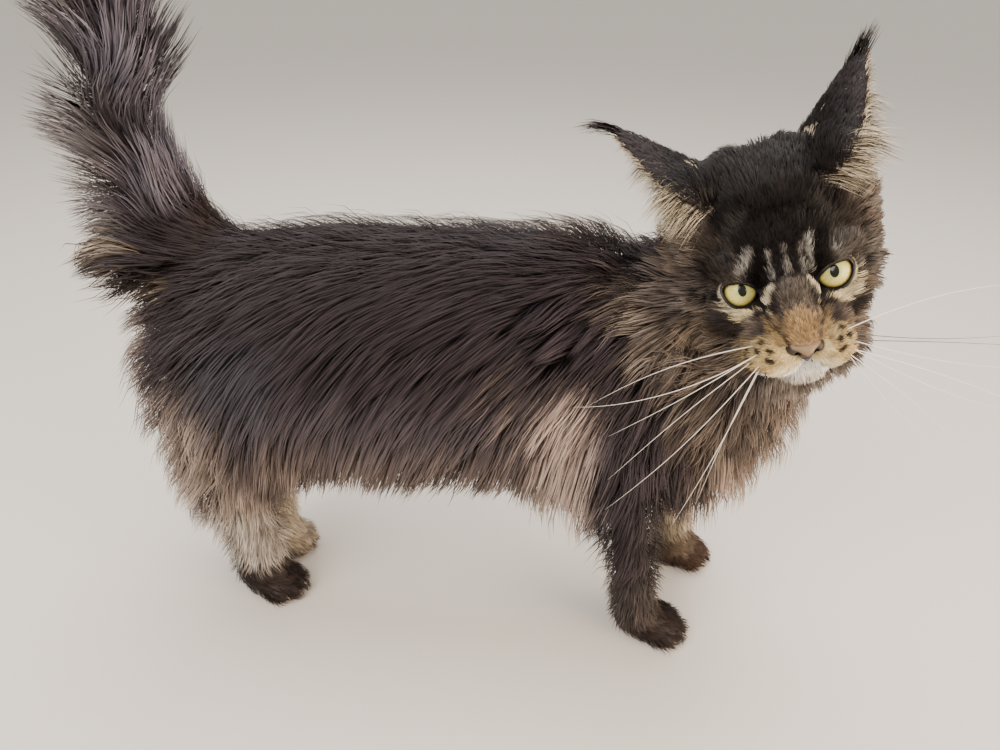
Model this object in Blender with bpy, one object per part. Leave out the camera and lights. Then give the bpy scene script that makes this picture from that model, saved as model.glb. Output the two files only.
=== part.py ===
"""A Maine Coon cat at life size, standing, with its head turned to its right and its tail raised.

The cat faces +X, its left side is +Y, and it stands on the plane z = 0. All sizes
are outer sizes, out to the tips of the coat. The body is built from overlapping
masses that are fused into one closed surface. Thin cuts then part that surface
where the parts of a cat are named. Ears, eyes, nose and whiskers are pieces of
their own, set into pockets.
"""

import bmesh
import bpy
from math import cos, pi, radians, sin
from mathutils import Euler, Matrix, Vector

MM = 0.001
GAP = 0.35 * MM  # air between neighbouring parts
VOXEL = 3.0 * MM  # cell of the grid that fuses the masses
FLESH_TRIANGLES = 2600
RING_POINTS = 32
FLOOR_REACH = 0.5
CRUMB = 1e-7  # cubic metres: smaller bodies left by the cuts are dropped

# Outline of the trunk from rump to breast: x, top z, bottom z, half width.
TRUNK = (
    (-0.214, 0.250, 0.190, 0.028),
    (-0.202, 0.270, 0.155, 0.046),
    (-0.180, 0.284, 0.132, 0.058),
    (-0.140, 0.294, 0.112, 0.065),
    (-0.090, 0.300, 0.113, 0.066),
    (-0.030, 0.302, 0.113, 0.066),
    (0.030, 0.301, 0.116, 0.066),
    (0.075, 0.303, 0.108, 0.066),
    (0.105, 0.297, 0.113, 0.064),
    (0.135, 0.284, 0.128, 0.060),
    (0.160, 0.262, 0.150, 0.050),
    (0.178, 0.238, 0.180, 0.030),
)

# Tail from its root upwards: centre x, centre y, centre z, half width, half depth.
TAIL = (
    (-0.168, 0.000, 0.262, 0.026, 0.026),
    (-0.182, 0.001, 0.283, 0.036, 0.038),
    (-0.201, 0.002, 0.310, 0.039, 0.040),
    (-0.208, 0.003, 0.345, 0.036, 0.036),
    (-0.202, 0.004, 0.385, 0.039, 0.040),
    (-0.195, 0.005, 0.425, 0.042, 0.043),
    (-0.196, 0.006, 0.460, 0.040, 0.041),
    (-0.203, 0.007, 0.492, 0.033, 0.034),
    (-0.214, 0.008, 0.520, 0.023, 0.024),
    (-0.228, 0.009, 0.544, 0.010, 0.011),
)

# Neck from the shoulders up to the head: centre x, y, z, half width, half depth.
NECK = (
    (0.100, 0.000, 0.236, 0.060, 0.056),
    (0.122, -0.004, 0.246, 0.056, 0.052),
    (0.145, -0.010, 0.264, 0.053, 0.048),
    (0.160, -0.016, 0.285, 0.046, 0.044),
)

# Ruff, from under the chin down the breast: centre x, y, z, half width, half depth.
RUFF = (
    (0.150, -0.020, 0.280, 0.052, 0.046),
    (0.153, -0.022, 0.252, 0.060, 0.053),
    (0.154, -0.018, 0.222, 0.060, 0.057),
    (0.152, -0.012, 0.192, 0.054, 0.057),
    (0.146, -0.006, 0.162, 0.046, 0.047),
    (0.138, -0.002, 0.136, 0.034, 0.033),
)

# Each leg from the body down to the wrist or hock: x, y, z, half width, half depth.
LEGS = {
    "front_right": (
        (0.100, -0.034, 0.210, 0.034, 0.050),
        (0.104, -0.042, 0.160, 0.028, 0.034),
        (0.108, -0.045, 0.125, 0.021, 0.022),
        (0.116, -0.045, 0.092, 0.017, 0.018),
        (0.121, -0.044, 0.060, 0.0150, 0.0160),
        (0.124, -0.043, 0.035, 0.0155, 0.0160),
        (0.129, -0.042, 0.016, 0.0165, 0.0180),
    ),
    "front_left": (
        (0.110, 0.034, 0.210, 0.034, 0.050),
        (0.126, 0.042, 0.160, 0.028, 0.032),
        (0.140, 0.045, 0.125, 0.021, 0.022),
        (0.151, 0.045, 0.092, 0.017, 0.018),
        (0.159, 0.044, 0.060, 0.0150, 0.0160),
        (0.162, 0.043, 0.035, 0.0155, 0.0160),
        (0.162, 0.042, 0.016, 0.0165, 0.0180),
    ),
    "hind_right": (
        (-0.160, -0.036, 0.200, 0.032, 0.050),
        (-0.166, -0.038, 0.150, 0.027, 0.040),
        (-0.168, -0.034, 0.115, 0.022, 0.031),
        (-0.166, -0.031, 0.088, 0.0185, 0.0255),
        (-0.160, -0.029, 0.060, 0.0170, 0.0220),
        (-0.161, -0.027, 0.035, 0.0165, 0.0200),
        (-0.164, -0.025, 0.016, 0.0175, 0.0200),
    ),
    "hind_left": (
        (-0.160, 0.036, 0.200, 0.032, 0.050),
        (-0.168, 0.038, 0.150, 0.027, 0.040),
        (-0.174, 0.034, 0.115, 0.022, 0.030),
        (-0.176, 0.030, 0.088, 0.0185, 0.0235),
        (-0.170, 0.026, 0.060, 0.0165, 0.0200),
        (-0.170, 0.026, 0.035, 0.0165, 0.0190),
        (-0.172, 0.025, 0.016, 0.0175, 0.0200),
    ),
}

# Each paw: centre of its sole, and the way the toes point in degrees from +X.
PAWS = {
    "front_right": ((0.137, -0.036), -14.0),
    "front_left": ((0.166, 0.042), 4.0),
    "hind_right": ((-0.159, -0.023), -14.0),
    "hind_left": ((-0.167, 0.025), -2.0),
}
PAW_RADII = (0.025, 0.0190, 0.0155)  # along the foot, across it, upwards
PAW_HEIGHT = 0.0125  # centre above the floor
TOE_RADII = (0.0115, 0.0060, 0.0090)
TOE_SPREAD = (-0.0125, -0.0045, 0.0045, 0.0125)  # toes beside each other
TOE_REACH = (0.014, 0.020, 0.020, 0.014)
TOE_DROP = 0.004  # toe centres below the centre of the paw

# Soft masses of the trunk: centre, radii.
TRUNK_MASSES = (
    ((0.098, -0.034, 0.205), (0.050, 0.034, 0.072)),  # right shoulder
    ((0.104, 0.034, 0.205), (0.050, 0.034, 0.072)),  # left shoulder
    ((0.078, -0.042, 0.142), (0.036, 0.021, 0.031)),  # fringe behind the right elbow
    ((0.090, 0.042, 0.142), (0.038, 0.021, 0.031)),  # fringe behind the left elbow
    ((-0.146, -0.037, 0.185), (0.057, 0.034, 0.074)),  # right thigh
    ((-0.148, 0.037, 0.185), (0.057, 0.034, 0.074)),  # left thigh
    ((-0.174, -0.026, 0.122), (0.033, 0.028, 0.044)),  # right trousers
    ((-0.178, 0.026, 0.122), (0.033, 0.028, 0.044)),  # left trousers
    ((-0.222, 0.000, 0.272), (0.028, 0.020, 0.030)),  # fringe under the root of the tail
    ((-0.196, 0.000, 0.215), (0.030, 0.036, 0.055)),  # rump below the tail
)

# Head frame: the point between the eyes, with x out of the face, y to the cat's
# left and z to its crown. The head is turned, nodded and rolled by these angles.
EYES_MIDDLE = Vector((0.1714, -0.0664, 0.3015))
HEAD_TURN = -90.7
HEAD_NOD = 4.1
HEAD_ROLL = 17.6

# Masses of the head in its own frame, in millimetres: centre, radii.
HEAD_MIDLINE = (
    ((-44, 0, 18), (44, 46, 43)),  # cranium
    ((-20, 0, 14), (22, 35, 26)),  # brow
    ((-17, 0, -34), (36, 26, 19)),  # jaw
    ((13, 0, -39), (14, 14, 11)),  # chin
    ((-34, 0, -48), (36, 42, 26)),  # throat
)
HEAD_PAIRED = (
    ((-24, 31, -12), (29, 20, 26)),  # cheek
    ((-40, 34, -16), (30, 24, 37)),  # cheek ruff
    ((-38, 30, 14), (30, 26, 32)),  # temple
    ((-44, 27, 36), (22, 20, 20)),  # root of the ear
    ((-8, 22, 12), (9, 14, 7)),  # ridge over the eye
    ((19, 12, -27), (15, 14, 12)),  # whisker pad
)
# Bridge of the nose from brow to tip: x, z, half width, half height, in millimetres.
NOSE_BRIDGE = ((-14, 6, 16, 15), (2, 2, 13, 12), (16, -7, 12, 10), (30, -15, 10, 8))
NOSE = ((29.5, 0, -18.5), (7.0, 8.0, 6.5))
EYE_RADIUS = 10.5
EYE_CENTRE = (-8.0, 23.5, -4.5)
EYE_OPENING = ((4.0, 23.5, -1.5), (8.0, 9.5, 7.0))

# Each ear in the head frame, in millimetres: root, tip and the way its hollow faces.
EARS = {
    "right": ((-42, -31, 38), (-77, -71, 74), (-0.20, -0.75, -0.60)),
    "left": ((-42, 30, 38), (-80, 61, 79), (-0.30, 0.90, -0.30)),
}
EAR_HALF_WIDTH = 29.0
EAR_DEPTH = 17.0
EAR_WALL = 3.0
EAR_SUNK = 13.0  # how far the root goes on below the coat
EAR_BOW = 3.0  # bend of the shell towards its hollow
EAR_TIP = 0.06  # size of the tip against the root
EAR_TAPER = 0.64
EAR_SWEEP = 100.0  # degrees of the shell each side of its back, at the root
EAR_UNFOLD = 0.45  # share of the sweep that is lost towards the tip
EAR_THINNING = 0.6  # share of the wall that is lost towards the tip
EAR_LEAST = 0.4  # smallest half size of the tip
EAR_STEPS = 6
EAR_POINTS = 7

ELBOW_HEIGHT = 0.104
HOCK_HEIGHT = 0.078
WRIST_HEIGHT = 0.035

# Flat cuts that part the flesh: a point of the plane, its normal, half size of the plate.
FLAT_CUTS = (
    ((0.139, 0.0, 0.226), (0.70, 0.0, 0.71), 0.120),  # neck from chest
    ((0.040, 0.0, 0.200), (1.0, 0.0, 0.0), 0.140),  # chest from trunk
    ((-0.085, 0.0, 0.200), (1.0, 0.0, 0.0), 0.140),  # trunk from hindquarters
    ((-0.178, 0.0, 0.288), (-0.45, 0.0, 0.89), 0.100),  # hindquarters from tail
    ((-0.203, 0.0, 0.375), (0.0, 0.0, 1.0), 0.080),  # base of the tail from its middle
    ((-0.197, 0.0, 0.462), (-0.1, 0.0, 1.0), 0.080),  # middle of the tail from its tip
    ((0.140, 0.0, ELBOW_HEIGHT), (0.0, 0.0, 1.0), 0.070),  # both elbows
    ((-0.165, 0.0, HOCK_HEIGHT), (0.0, 0.0, 1.0), 0.075),  # both hocks
)
WRIST_PLATE = 0.030
WRIST_NORMAL = (0.25, 0.0, 1.0)

# Boxes whose walls part the legs of one side from the body: x range, top, distance of
# the inner wall from the middle at the floor, and how far it leans outwards in degrees.
LEG_BOXES = (
    ((-0.270, -0.095), 0.240, 0.001, 7.5),  # thigh
    ((0.050, 0.240), 0.165, 0.010, 5.5),  # upper foreleg
)
LEG_BOX_BOTTOM = -0.030
LEG_BOX_WIDTH = 0.140

# The ball that parts the head, and the box that parts the muzzle, in the head frame.
HEAD_BALL = ((-22, 0, 0), (90, 72, 64))
MUZZLE_BOX = ((4, -29, -53), (60, 29, -12))

# Linear colour and roughness of each finish, by the start of the part's name.
COAT = ((0.020, 0.016, 0.016), 0.65)
FINISHES = {
    "eye": ((0.52, 0.50, 0.11), 0.05),
    "nose": ((0.30, 0.17, 0.15), 0.45),
    "whiskers": ((0.75, 0.73, 0.70), 0.40),
    "muzzle": ((0.42, 0.33, 0.22), 0.65),
    "hindquarters": ((0.030, 0.024, 0.023), 0.65),
    "neck": ((0.085, 0.066, 0.050), 0.65),
}
SMOOTH_ANGLE = 50.0

# Whiskers of each side, in millimetres and degrees: root forward, root up, length,
# angle back from straight out of the face, angle up from level, droop of the tip.
WHISKERS = {
    "right": (
        (-2.0, 2.5, 96, 94, -8, 10),
        (2.0, 2.5, 92, 90, -20, 6),
        (0.0, 1.0, 118, 88, -32, -52),
        (3.0, 0.0, 124, 80, -37, -4),
        (-2.0, -1.0, 116, 84, -36, -8),
        (1.0, -2.0, 110, 72, -52, 2),
        (-1.0, -3.0, 96, 70, -58, -4),
        (3.0, -3.5, 78, 60, -66, -2),
    ),
    "left": (
        (0.0, 3.0, 100, 108, -2, 10),
        (-2.0, 1.5, 104, 106, -22, 2),
        (2.0, 1.0, 112, 102, -29, -14),
        (-1.0, 0.0, 114, 106, -31, 2),
        (3.0, -1.0, 124, 100, -40, -6),
        (0.0, -2.0, 118, 104, -42, 0),
        (2.0, -3.0, 114, 100, -56, -4),
        (1.0, -3.0, 88, 98, -62, -4),
    ),
}
WHISKER_PAD = ((24.5, 20.3, -26.0), (6.0, 6.0, 6.5))
WHISKER_RADIUS = 0.35
WHISKER_STEPS = 4


def head_frame():
    turn = Euler((radians(HEAD_ROLL), radians(HEAD_NOD), radians(HEAD_TURN)), "XYZ")
    return Matrix.Translation(EYES_MIDDLE) @ turn.to_matrix().to_4x4() @ Matrix.Scale(MM, 4)


HEAD = head_frame()


def clear_scene():
    for obj in list(bpy.data.objects):
        bpy.data.objects.remove(obj)


def material(name, colour, roughness):
    """A Principled material of a plain linear colour."""
    made = bpy.data.materials.new(name)
    made.use_nodes = True
    shader = made.node_tree.nodes["Principled BSDF"]
    shader.inputs["Base Color"].default_value = (*colour, 1.0)
    shader.inputs["Roughness"].default_value = roughness
    shader.inputs["Metallic"].default_value = 0.0
    return made


def new_object(name, bm):
    """Turns a bmesh into an object, with its faces pointing out."""
    bmesh.ops.recalc_face_normals(bm, faces=bm.faces)
    mesh = bpy.data.meshes.new(name)
    bm.to_mesh(mesh)
    bm.free()
    obj = bpy.data.objects.new(name, mesh)
    bpy.context.scene.collection.objects.link(obj)
    return obj


def ellipsoid(bm, centre, radii, frame=None, segments=20, rings=12):
    """Adds an ellipsoid to a bmesh, in a frame of its own if one is given."""
    place = Matrix.LocRotScale(Vector(centre), None, Vector(radii))
    if frame is not None:
        place = frame @ place
    bmesh.ops.create_uvsphere(bm, u_segments=segments, v_segments=rings, radius=1.0, matrix=place)


def tube(bm, stations, side, points=RING_POINTS):
    """Lofts rings of given half width and half depth along a path. The half width lies along side."""
    centres = [Vector(station[0]) for station in stations]
    loops = []
    for index, (_, half_width, half_depth) in enumerate(stations):
        before = centres[max(index - 1, 0)]
        after = centres[min(index + 1, len(centres) - 1)]
        along = (after - before).normalized()
        across = (Vector(side) - along * along.dot(Vector(side))).normalized()
        third = along.cross(across)
        turn = Matrix((across, third, along)).transposed().to_4x4()
        place = Matrix.Translation(centres[index]) @ turn
        place = place @ Matrix.Diagonal((half_width, half_depth, 1.0, 1.0))
        ring = bmesh.ops.create_circle(bm, segments=points, radius=1.0, matrix=place)["verts"]
        loops.append(ring)
    for lower, upper in zip(loops, loops[1:]):
        for i in range(points):
            j = (i + 1) % points
            bm.faces.new((lower[i], lower[j], upper[j], upper[i]))
    bm.faces.new(loops[0][::-1])
    bm.faces.new(loops[-1])


def baked(obj):
    """Replaces an object's mesh by the result of its modifiers."""
    graph = bpy.context.evaluated_depsgraph_get()
    mesh = bpy.data.meshes.new_from_object(obj.evaluated_get(graph))
    obj.modifiers.clear()
    obj.data = mesh
    return obj


def boolean(obj, other, operation):
    """Cuts obj with other, or joins it to obj, and removes other."""
    step = obj.modifiers.new("cut", "BOOLEAN")
    step.operation = operation
    step.solver = "EXACT"
    step.object = other
    baked(obj)
    bpy.data.objects.remove(other)
    return obj


def grown(obj, distance):
    """A copy of an object, swollen along its normals."""
    copy = bpy.data.objects.new(obj.name + "_grown", obj.data.copy())
    bpy.context.scene.collection.objects.link(copy)
    step = copy.modifiers.new("grow", "DISPLACE")
    step.strength = distance
    step.mid_level = 0.0
    return baked(copy)


def box_cutter(low, high, frame=None):
    """A box between two corners, in a frame of its own if one is given."""
    bm = bmesh.new()
    middle = (Vector(low) + Vector(high)) / 2
    place = Matrix.LocRotScale(middle, None, Vector(high) - Vector(low))
    if frame is not None:
        place = frame @ place
    bmesh.ops.create_cube(bm, size=1.0, matrix=place)
    return new_object("cutter", bm)


def slab(centre, normal, half_size):
    """A square plate one gap thick, for a flat cut."""
    turn = Vector(normal).to_track_quat("Z", "Y").to_matrix().to_4x4()
    frame = Matrix.Translation(Vector(centre)) @ turn
    low = (-half_size, -half_size, -GAP / 2)
    high = (half_size, half_size, GAP / 2)
    return box_cutter(low, high, frame)


def box_shell(low, high, frame=None, gap=GAP):
    """The thin wall of a box, which parts what is inside it from what is outside."""
    grow = Vector((gap, gap, gap))
    outer = box_cutter(Vector(low) - grow, Vector(high) + grow, frame)
    return boolean(outer, box_cutter(low, high, frame), "DIFFERENCE")


def ball_shell(centre, radii, frame):
    """The thin wall of an ellipsoid given in the head frame."""
    outer = bmesh.new()
    ellipsoid(outer, centre, [r + GAP / MM for r in radii], frame, 18, 10)
    inner = bmesh.new()
    ellipsoid(inner, centre, radii, frame, 18, 10)
    return boolean(new_object("shell", outer), new_object("core", inner), "DIFFERENCE")


def islands(obj):
    """Splits an object's mesh into its closed bodies, one bmesh each, biggest first."""
    source = bmesh.new()
    source.from_mesh(obj.data)
    source.verts.ensure_lookup_table()
    left = set(range(len(source.verts)))
    groups = []
    while left:
        stack = [left.pop()]
        group = set(stack)
        while stack:
            for edge in source.verts[stack.pop()].link_edges:
                for vert in edge.verts:
                    if vert.index in left:
                        left.discard(vert.index)
                        group.add(vert.index)
                        stack.append(vert.index)
        groups.append(group)
    bodies = []
    for group in sorted(groups, key=len, reverse=True):
        body = source.copy()
        others = [vert for vert in body.verts if vert.index not in group]
        bmesh.ops.delete(body, geom=others, context="VERTS")
        bodies.append(body)
    source.free()
    return bodies


def largest(obj):
    """Keeps only the biggest closed body of an object."""
    bodies = islands(obj)
    mesh = bpy.data.meshes.new(obj.name)
    bodies[0].to_mesh(mesh)
    obj.data = mesh
    return obj


def cat_masses():
    """All masses of the body in one bmesh, still overlapping."""
    bm = bmesh.new()
    trunk = [((x, 0.0, (top + low) / 2), wide, (top - low) / 2) for x, top, low, wide in TRUNK]
    tube(bm, trunk, (0, 1, 0))
    for path in (TAIL, NECK, RUFF):
        tube(bm, [((x, y, z), wide, deep) for x, y, z, wide, deep in path], (0, 1, 0))
    for path in LEGS.values():
        tube(bm, [((x, y, z), wide, deep) for x, y, z, wide, deep in path], (0, 1, 0))
    for centre, radii in TRUNK_MASSES:
        ellipsoid(bm, centre, radii)
    for (x, y), heading in PAWS.values():
        foot = Matrix.Translation((x, y, PAW_HEIGHT)) @ Matrix.Rotation(radians(heading), 4, "Z")
        ellipsoid(bm, (0, 0, 0), PAW_RADII, foot)
        for spread, reach in zip(TOE_SPREAD, TOE_REACH):
            ellipsoid(bm, (reach, spread, -TOE_DROP), TOE_RADII, foot, 12, 8)
    for centre, radii in HEAD_MIDLINE:
        ellipsoid(bm, centre, radii, HEAD)
    for (x, y, z), radii in HEAD_PAIRED:
        for side in (-1, 1):
            ellipsoid(bm, (x, side * y, z), radii, HEAD)
    bridge = [(HEAD @ Vector((x, 0, z)), wide * MM, tall * MM) for x, z, wide, tall in NOSE_BRIDGE]
    tube(bm, bridge, HEAD.to_3x3() @ Vector((0, 1, 0)))
    return bm


def fused_cat():
    """One closed, smooth surface round all the masses, cut flat at the floor."""
    cat = new_object("flesh", cat_masses())
    fuse = cat.modifiers.new("fuse", "REMESH")
    fuse.mode = "VOXEL"
    fuse.voxel_size = VOXEL
    soften = cat.modifiers.new("soften", "SMOOTH")
    soften.factor = 0.5
    soften.iterations = 4
    baked(cat)
    thin = cat.modifiers.new("thin", "DECIMATE")
    thin.ratio = FLESH_TRIANGLES / (2 * len(cat.data.polygons))
    baked(cat)
    below = box_cutter((-FLOOR_REACH, -FLOOR_REACH, -FLOOR_REACH), (FLOOR_REACH, FLOOR_REACH, 0.0))
    return boolean(cat, below, "DIFFERENCE")


def ear_shell(name, root, tip, hollow):
    """A curved shell that narrows from root to tip and is open towards hollow."""
    bm = bmesh.new()
    root, tip = Vector(root), Vector(tip)
    along = (tip - root).normalized()
    root = root - along * EAR_SUNK
    front = (Vector(hollow) - along * along.dot(Vector(hollow))).normalized()
    across = along.cross(front)
    rings = []
    for step in range(EAR_STEPS + 1):
        t = step / EAR_STEPS
        size = EAR_TIP + (1.0 - EAR_TIP) * (1.0 - t) ** EAR_TAPER
        sweep = radians(EAR_SWEEP * (1.0 - EAR_UNFOLD * t))
        wall = EAR_WALL * (1.0 - EAR_THINNING * t)
        middle = root.lerp(tip, t) + front * (EAR_BOW * sin(pi * t))
        ring = []
        for thickness, way in ((0.0, 1.0), (wall, -0.97)):
            wide = max(EAR_HALF_WIDTH * size - thickness, EAR_LEAST)
            deep = max(EAR_DEPTH * size - thickness, EAR_LEAST)
            for k in range(EAR_POINTS):
                turn = way * sweep * (2.0 * k / (EAR_POINTS - 1) - 1.0)
                place = middle + across * (wide * sin(turn)) - front * (deep * cos(turn))
                ring.append(bm.verts.new(HEAD @ place))
        rings.append(ring)
    count = len(rings[0])
    for lower, upper in zip(rings, rings[1:]):
        for i in range(count):
            j = (i + 1) % count
            bm.faces.new((lower[i], lower[j], upper[j], upper[i]))
    bm.faces.new(rings[0][::-1])
    bm.faces.new(rings[-1])
    return new_object(name, bm)


def ball(name, centre, radii, extra=0.0, segments=14, rings=10):
    """An ellipsoid of the head frame as an object, swollen by extra millimetres."""
    bm = bmesh.new()
    ellipsoid(bm, centre, [r + extra for r in radii], HEAD, segments, rings)
    return new_object(name, bm)


def whisker(side, forward, height, length, back, lift, droop):
    """One tapering bristle of three sides, rooted in the whisker button."""
    (x, y, z), _ = WHISKER_PAD
    root = Vector((x + forward * 0.6, side * y, z + height))
    away = Vector((cos(radians(back)), side * sin(radians(back)), 0.0)) * cos(radians(lift))
    away.z = sin(radians(lift))
    stations = []
    for step in range(WHISKER_STEPS + 1):
        t = step / WHISKER_STEPS
        place = root + away * (length * t) - Vector((0.0, 0.0, t * t * droop))
        radius = WHISKER_RADIUS * (1.0 - 0.25 * t) * MM
        stations.append((HEAD @ place, radius, radius))
    bm = bmesh.new()
    tube(bm, stations, HEAD.to_3x3() @ Vector((1.0, 0.0, 0.0)), points=3)
    return new_object("bristle", bm)


def whiskers(name, side):
    """The bristles of one cheek, joined to the button of skin that they grow from."""
    (x, y, z), radii = WHISKER_PAD
    button = ball("whiskers_" + name, (x, side * y, z), radii, segments=12, rings=7)
    for row in WHISKERS[name]:
        boolean(button, whisker(side, *row), "UNION")
    return button


def pockets(cat):
    """Opens the sockets of eyes, nose and whisker buttons, one gap wider than what sits in them."""
    clear = GAP / MM
    for side in (-1, 1):
        x, y, z = EYE_CENTRE
        boolean(cat, ball("socket", (x, side * y, z), (EYE_RADIUS,) * 3, clear), "DIFFERENCE")
        (x, y, z), radii = EYE_OPENING
        boolean(cat, ball("opening", (x, side * y, z), radii), "DIFFERENCE")
        (x, y, z), radii = WHISKER_PAD
        boolean(cat, ball("button", (x, side * y, z), radii, 3.0 * clear, 12, 7), "DIFFERENCE")
    return boolean(cat, ball("nose_pocket", *NOSE, clear), "DIFFERENCE")


def leaning(side, foot, lean):
    """A frame at the floor whose inner wall leans outwards by an angle from the foot up."""
    place = Matrix.Translation((0.0, side * foot, 0.0))
    return place @ Matrix.Rotation(radians(-side * lean), 4, "X")


def cutters():
    """The thin walls that part the flesh, from the head backwards."""
    yield ball_shell(*HEAD_BALL, HEAD)
    yield box_shell(*MUZZLE_BOX, HEAD, GAP / MM)
    for side in (-1, 1):
        near, far = sorted((0.0, side * LEG_BOX_WIDTH))
        for (back, front), top, foot, lean in LEG_BOXES:
            low = (back, near, LEG_BOX_BOTTOM)
            yield box_shell(low, (front, far, top), leaning(side, foot, lean))
    for centre, normal, half_size in FLAT_CUTS:
        yield slab(centre, normal, half_size)
    for (x, y), _ in PAWS.values():
        yield slab((x - 0.008, y * 1.05, WRIST_HEIGHT), WRIST_NORMAL, WRIST_PLATE)


# Where each part of the flesh lies: a point near its middle.
PARTS = {
    "head": (0.170, -0.035, 0.305),
    "muzzle": (0.177, -0.087, 0.276),
    "neck": (0.160, -0.014, 0.255),
    "chest": (0.105, 0.000, 0.180),
    "trunk": (-0.020, 0.000, 0.205),
    "hindquarters": (-0.160, 0.000, 0.220),
    "tail_base": (-0.205, 0.002, 0.320),
    "tail_middle": (-0.197, 0.006, 0.420),
    "tail_tip": (-0.204, 0.007, 0.500),
    "upper_foreleg_right": (0.107, -0.043, 0.134),
    "upper_foreleg_left": (0.117, 0.043, 0.134),
    "lower_foreleg_right": (0.117, -0.045, 0.070),
    "lower_foreleg_left": (0.154, 0.045, 0.070),
    "thigh_right": (-0.160, -0.045, 0.160),
    "thigh_left": (-0.160, 0.045, 0.160),
    "shank_right": (-0.165, -0.032, 0.072),
    "shank_left": (-0.172, 0.032, 0.072),
    "forepaw_right": (0.136, -0.038, 0.016),
    "forepaw_left": (0.167, 0.042, 0.016),
    "hind_paw_right": (-0.159, -0.025, 0.016),
    "hind_paw_left": (-0.167, 0.026, 0.016),
}


def named_parts(cat):
    """Turns each body of the parted flesh into an object named for the nearest middle."""
    bodies = [body for body in islands(cat) if abs(body.calc_volume()) > CRUMB]
    bpy.data.objects.remove(cat)
    for body in bodies:
        middle = sum((vert.co for vert in body.verts), Vector()) / len(body.verts)
        name = min(PARTS, key=lambda part: (Vector(PARTS[part]) - middle).length)
        new_object(name, body)


def ears(cat):
    """Both ears, seated one gap clear of the head."""
    skin = grown(cat, GAP)
    for side, shape in EARS.items():
        cutter = bpy.data.objects.new("skin", skin.data.copy())
        bpy.context.scene.collection.objects.link(cutter)
        largest(boolean(ear_shell("ear_" + side, *shape), cutter, "DIFFERENCE"))
    bpy.data.objects.remove(skin)


def face_pieces():
    """Eyes, nose and whiskers, each in its pocket."""
    x, y, z = EYE_CENTRE
    for side, name in ((-1, "right"), (1, "left")):
        ball("eye_" + name, (x, side * y, z), (EYE_RADIUS,) * 3)
        whiskers(name, side)
    ball("nose", *NOSE, segments=12, rings=8)


def finish(obj, home):
    """Gives an object its material and smooth shading, and hangs it on the empty."""
    finishes = [key for key in FINISHES if obj.name.startswith(key)]
    colour, roughness = FINISHES[finishes[0]] if finishes else COAT
    obj.data.materials.clear()
    obj.data.materials.append(material("finish_" + obj.name, colour, roughness))
    obj.data.shade_smooth()
    obj.data.set_sharp_from_angle(angle=radians(SMOOTH_ANGLE))
    obj.parent = home


def main():
    clear_scene()
    cat = fused_cat()
    ears(cat)
    pockets(cat)
    face_pieces()
    for cutter in cutters():
        boolean(cat, cutter, "DIFFERENCE")
    named_parts(cat)
    pieces = list(bpy.data.objects)
    corners = [vert.co for obj in pieces for vert in obj.data.vertices]
    low = [min(point[axis] for point in corners) for axis in range(3)]
    high = [max(point[axis] for point in corners) for axis in range(3)]
    home = bpy.data.objects.new("cat", None)
    bpy.context.scene.collection.objects.link(home)
    home.location = (-(low[0] + high[0]) / 2, -(low[1] + high[1]) / 2, -low[2])
    for obj in pieces:
        finish(obj, home)


main()
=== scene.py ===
# %% [markdown]
# # A standing Maine Coon cat, life size
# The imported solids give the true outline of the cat, out to the tips of its coat.
# This lesson builds what one sees inside that outline: one skin, eyes, nose leather,
# whiskers, claws, and a coat of about a hundred thousand separate tapered tufts.
# Everything is measured in metres, in the same frame as the solids.
# %% Load the frame
import bmesh
import bpy
import numpy as np
from math import cos, pi, radians, sin
from mathutils import Euler, Matrix, Vector
from mathutils.bvhtree import BVHTree
from mathutils.kdtree import KDTree


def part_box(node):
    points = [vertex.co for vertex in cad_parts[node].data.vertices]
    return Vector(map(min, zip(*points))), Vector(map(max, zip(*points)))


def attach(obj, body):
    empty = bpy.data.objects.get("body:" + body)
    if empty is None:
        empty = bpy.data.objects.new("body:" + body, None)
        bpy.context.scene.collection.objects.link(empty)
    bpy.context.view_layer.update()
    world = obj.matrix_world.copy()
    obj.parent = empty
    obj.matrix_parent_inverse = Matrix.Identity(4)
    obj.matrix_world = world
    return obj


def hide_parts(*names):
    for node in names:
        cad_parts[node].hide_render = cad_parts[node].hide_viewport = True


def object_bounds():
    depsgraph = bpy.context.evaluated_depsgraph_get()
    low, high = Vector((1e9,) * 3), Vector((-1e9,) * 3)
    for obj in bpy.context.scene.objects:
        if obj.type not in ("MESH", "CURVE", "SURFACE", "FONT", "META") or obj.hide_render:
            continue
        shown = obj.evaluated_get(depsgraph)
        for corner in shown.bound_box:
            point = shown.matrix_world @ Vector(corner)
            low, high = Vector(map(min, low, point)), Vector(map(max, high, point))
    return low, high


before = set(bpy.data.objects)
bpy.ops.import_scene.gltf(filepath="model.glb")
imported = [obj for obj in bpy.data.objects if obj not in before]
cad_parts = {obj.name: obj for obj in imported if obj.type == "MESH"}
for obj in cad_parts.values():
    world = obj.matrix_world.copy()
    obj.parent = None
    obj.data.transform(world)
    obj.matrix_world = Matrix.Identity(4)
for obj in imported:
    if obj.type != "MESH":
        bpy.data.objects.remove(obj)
cad_box = [list(corner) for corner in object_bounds()]
MM = 0.001
rng = np.random.default_rng(7)
print("solids:", len(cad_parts), "box:", [round(value, 3) for corner in cad_box for value in corner])

# %% [markdown]
# ## The head's own frame
# A cat's face is easiest to build upright: x out of the face, y to the cat's left, z to
# its crown, in millimetres. The head is turned, nodded and rolled against the body, so
# one matrix carries everything from that frame to its place. It is hung on the middle
# between the eyeballs, which the solids give.
# %% Head frame
HEAD_TURN, HEAD_NOD, HEAD_ROLL = -90.7, 4.1, 17.6
EYE_RADIUS = 10.5
EYE_CENTRE = (-8.0, 23.5, -4.5)


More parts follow.
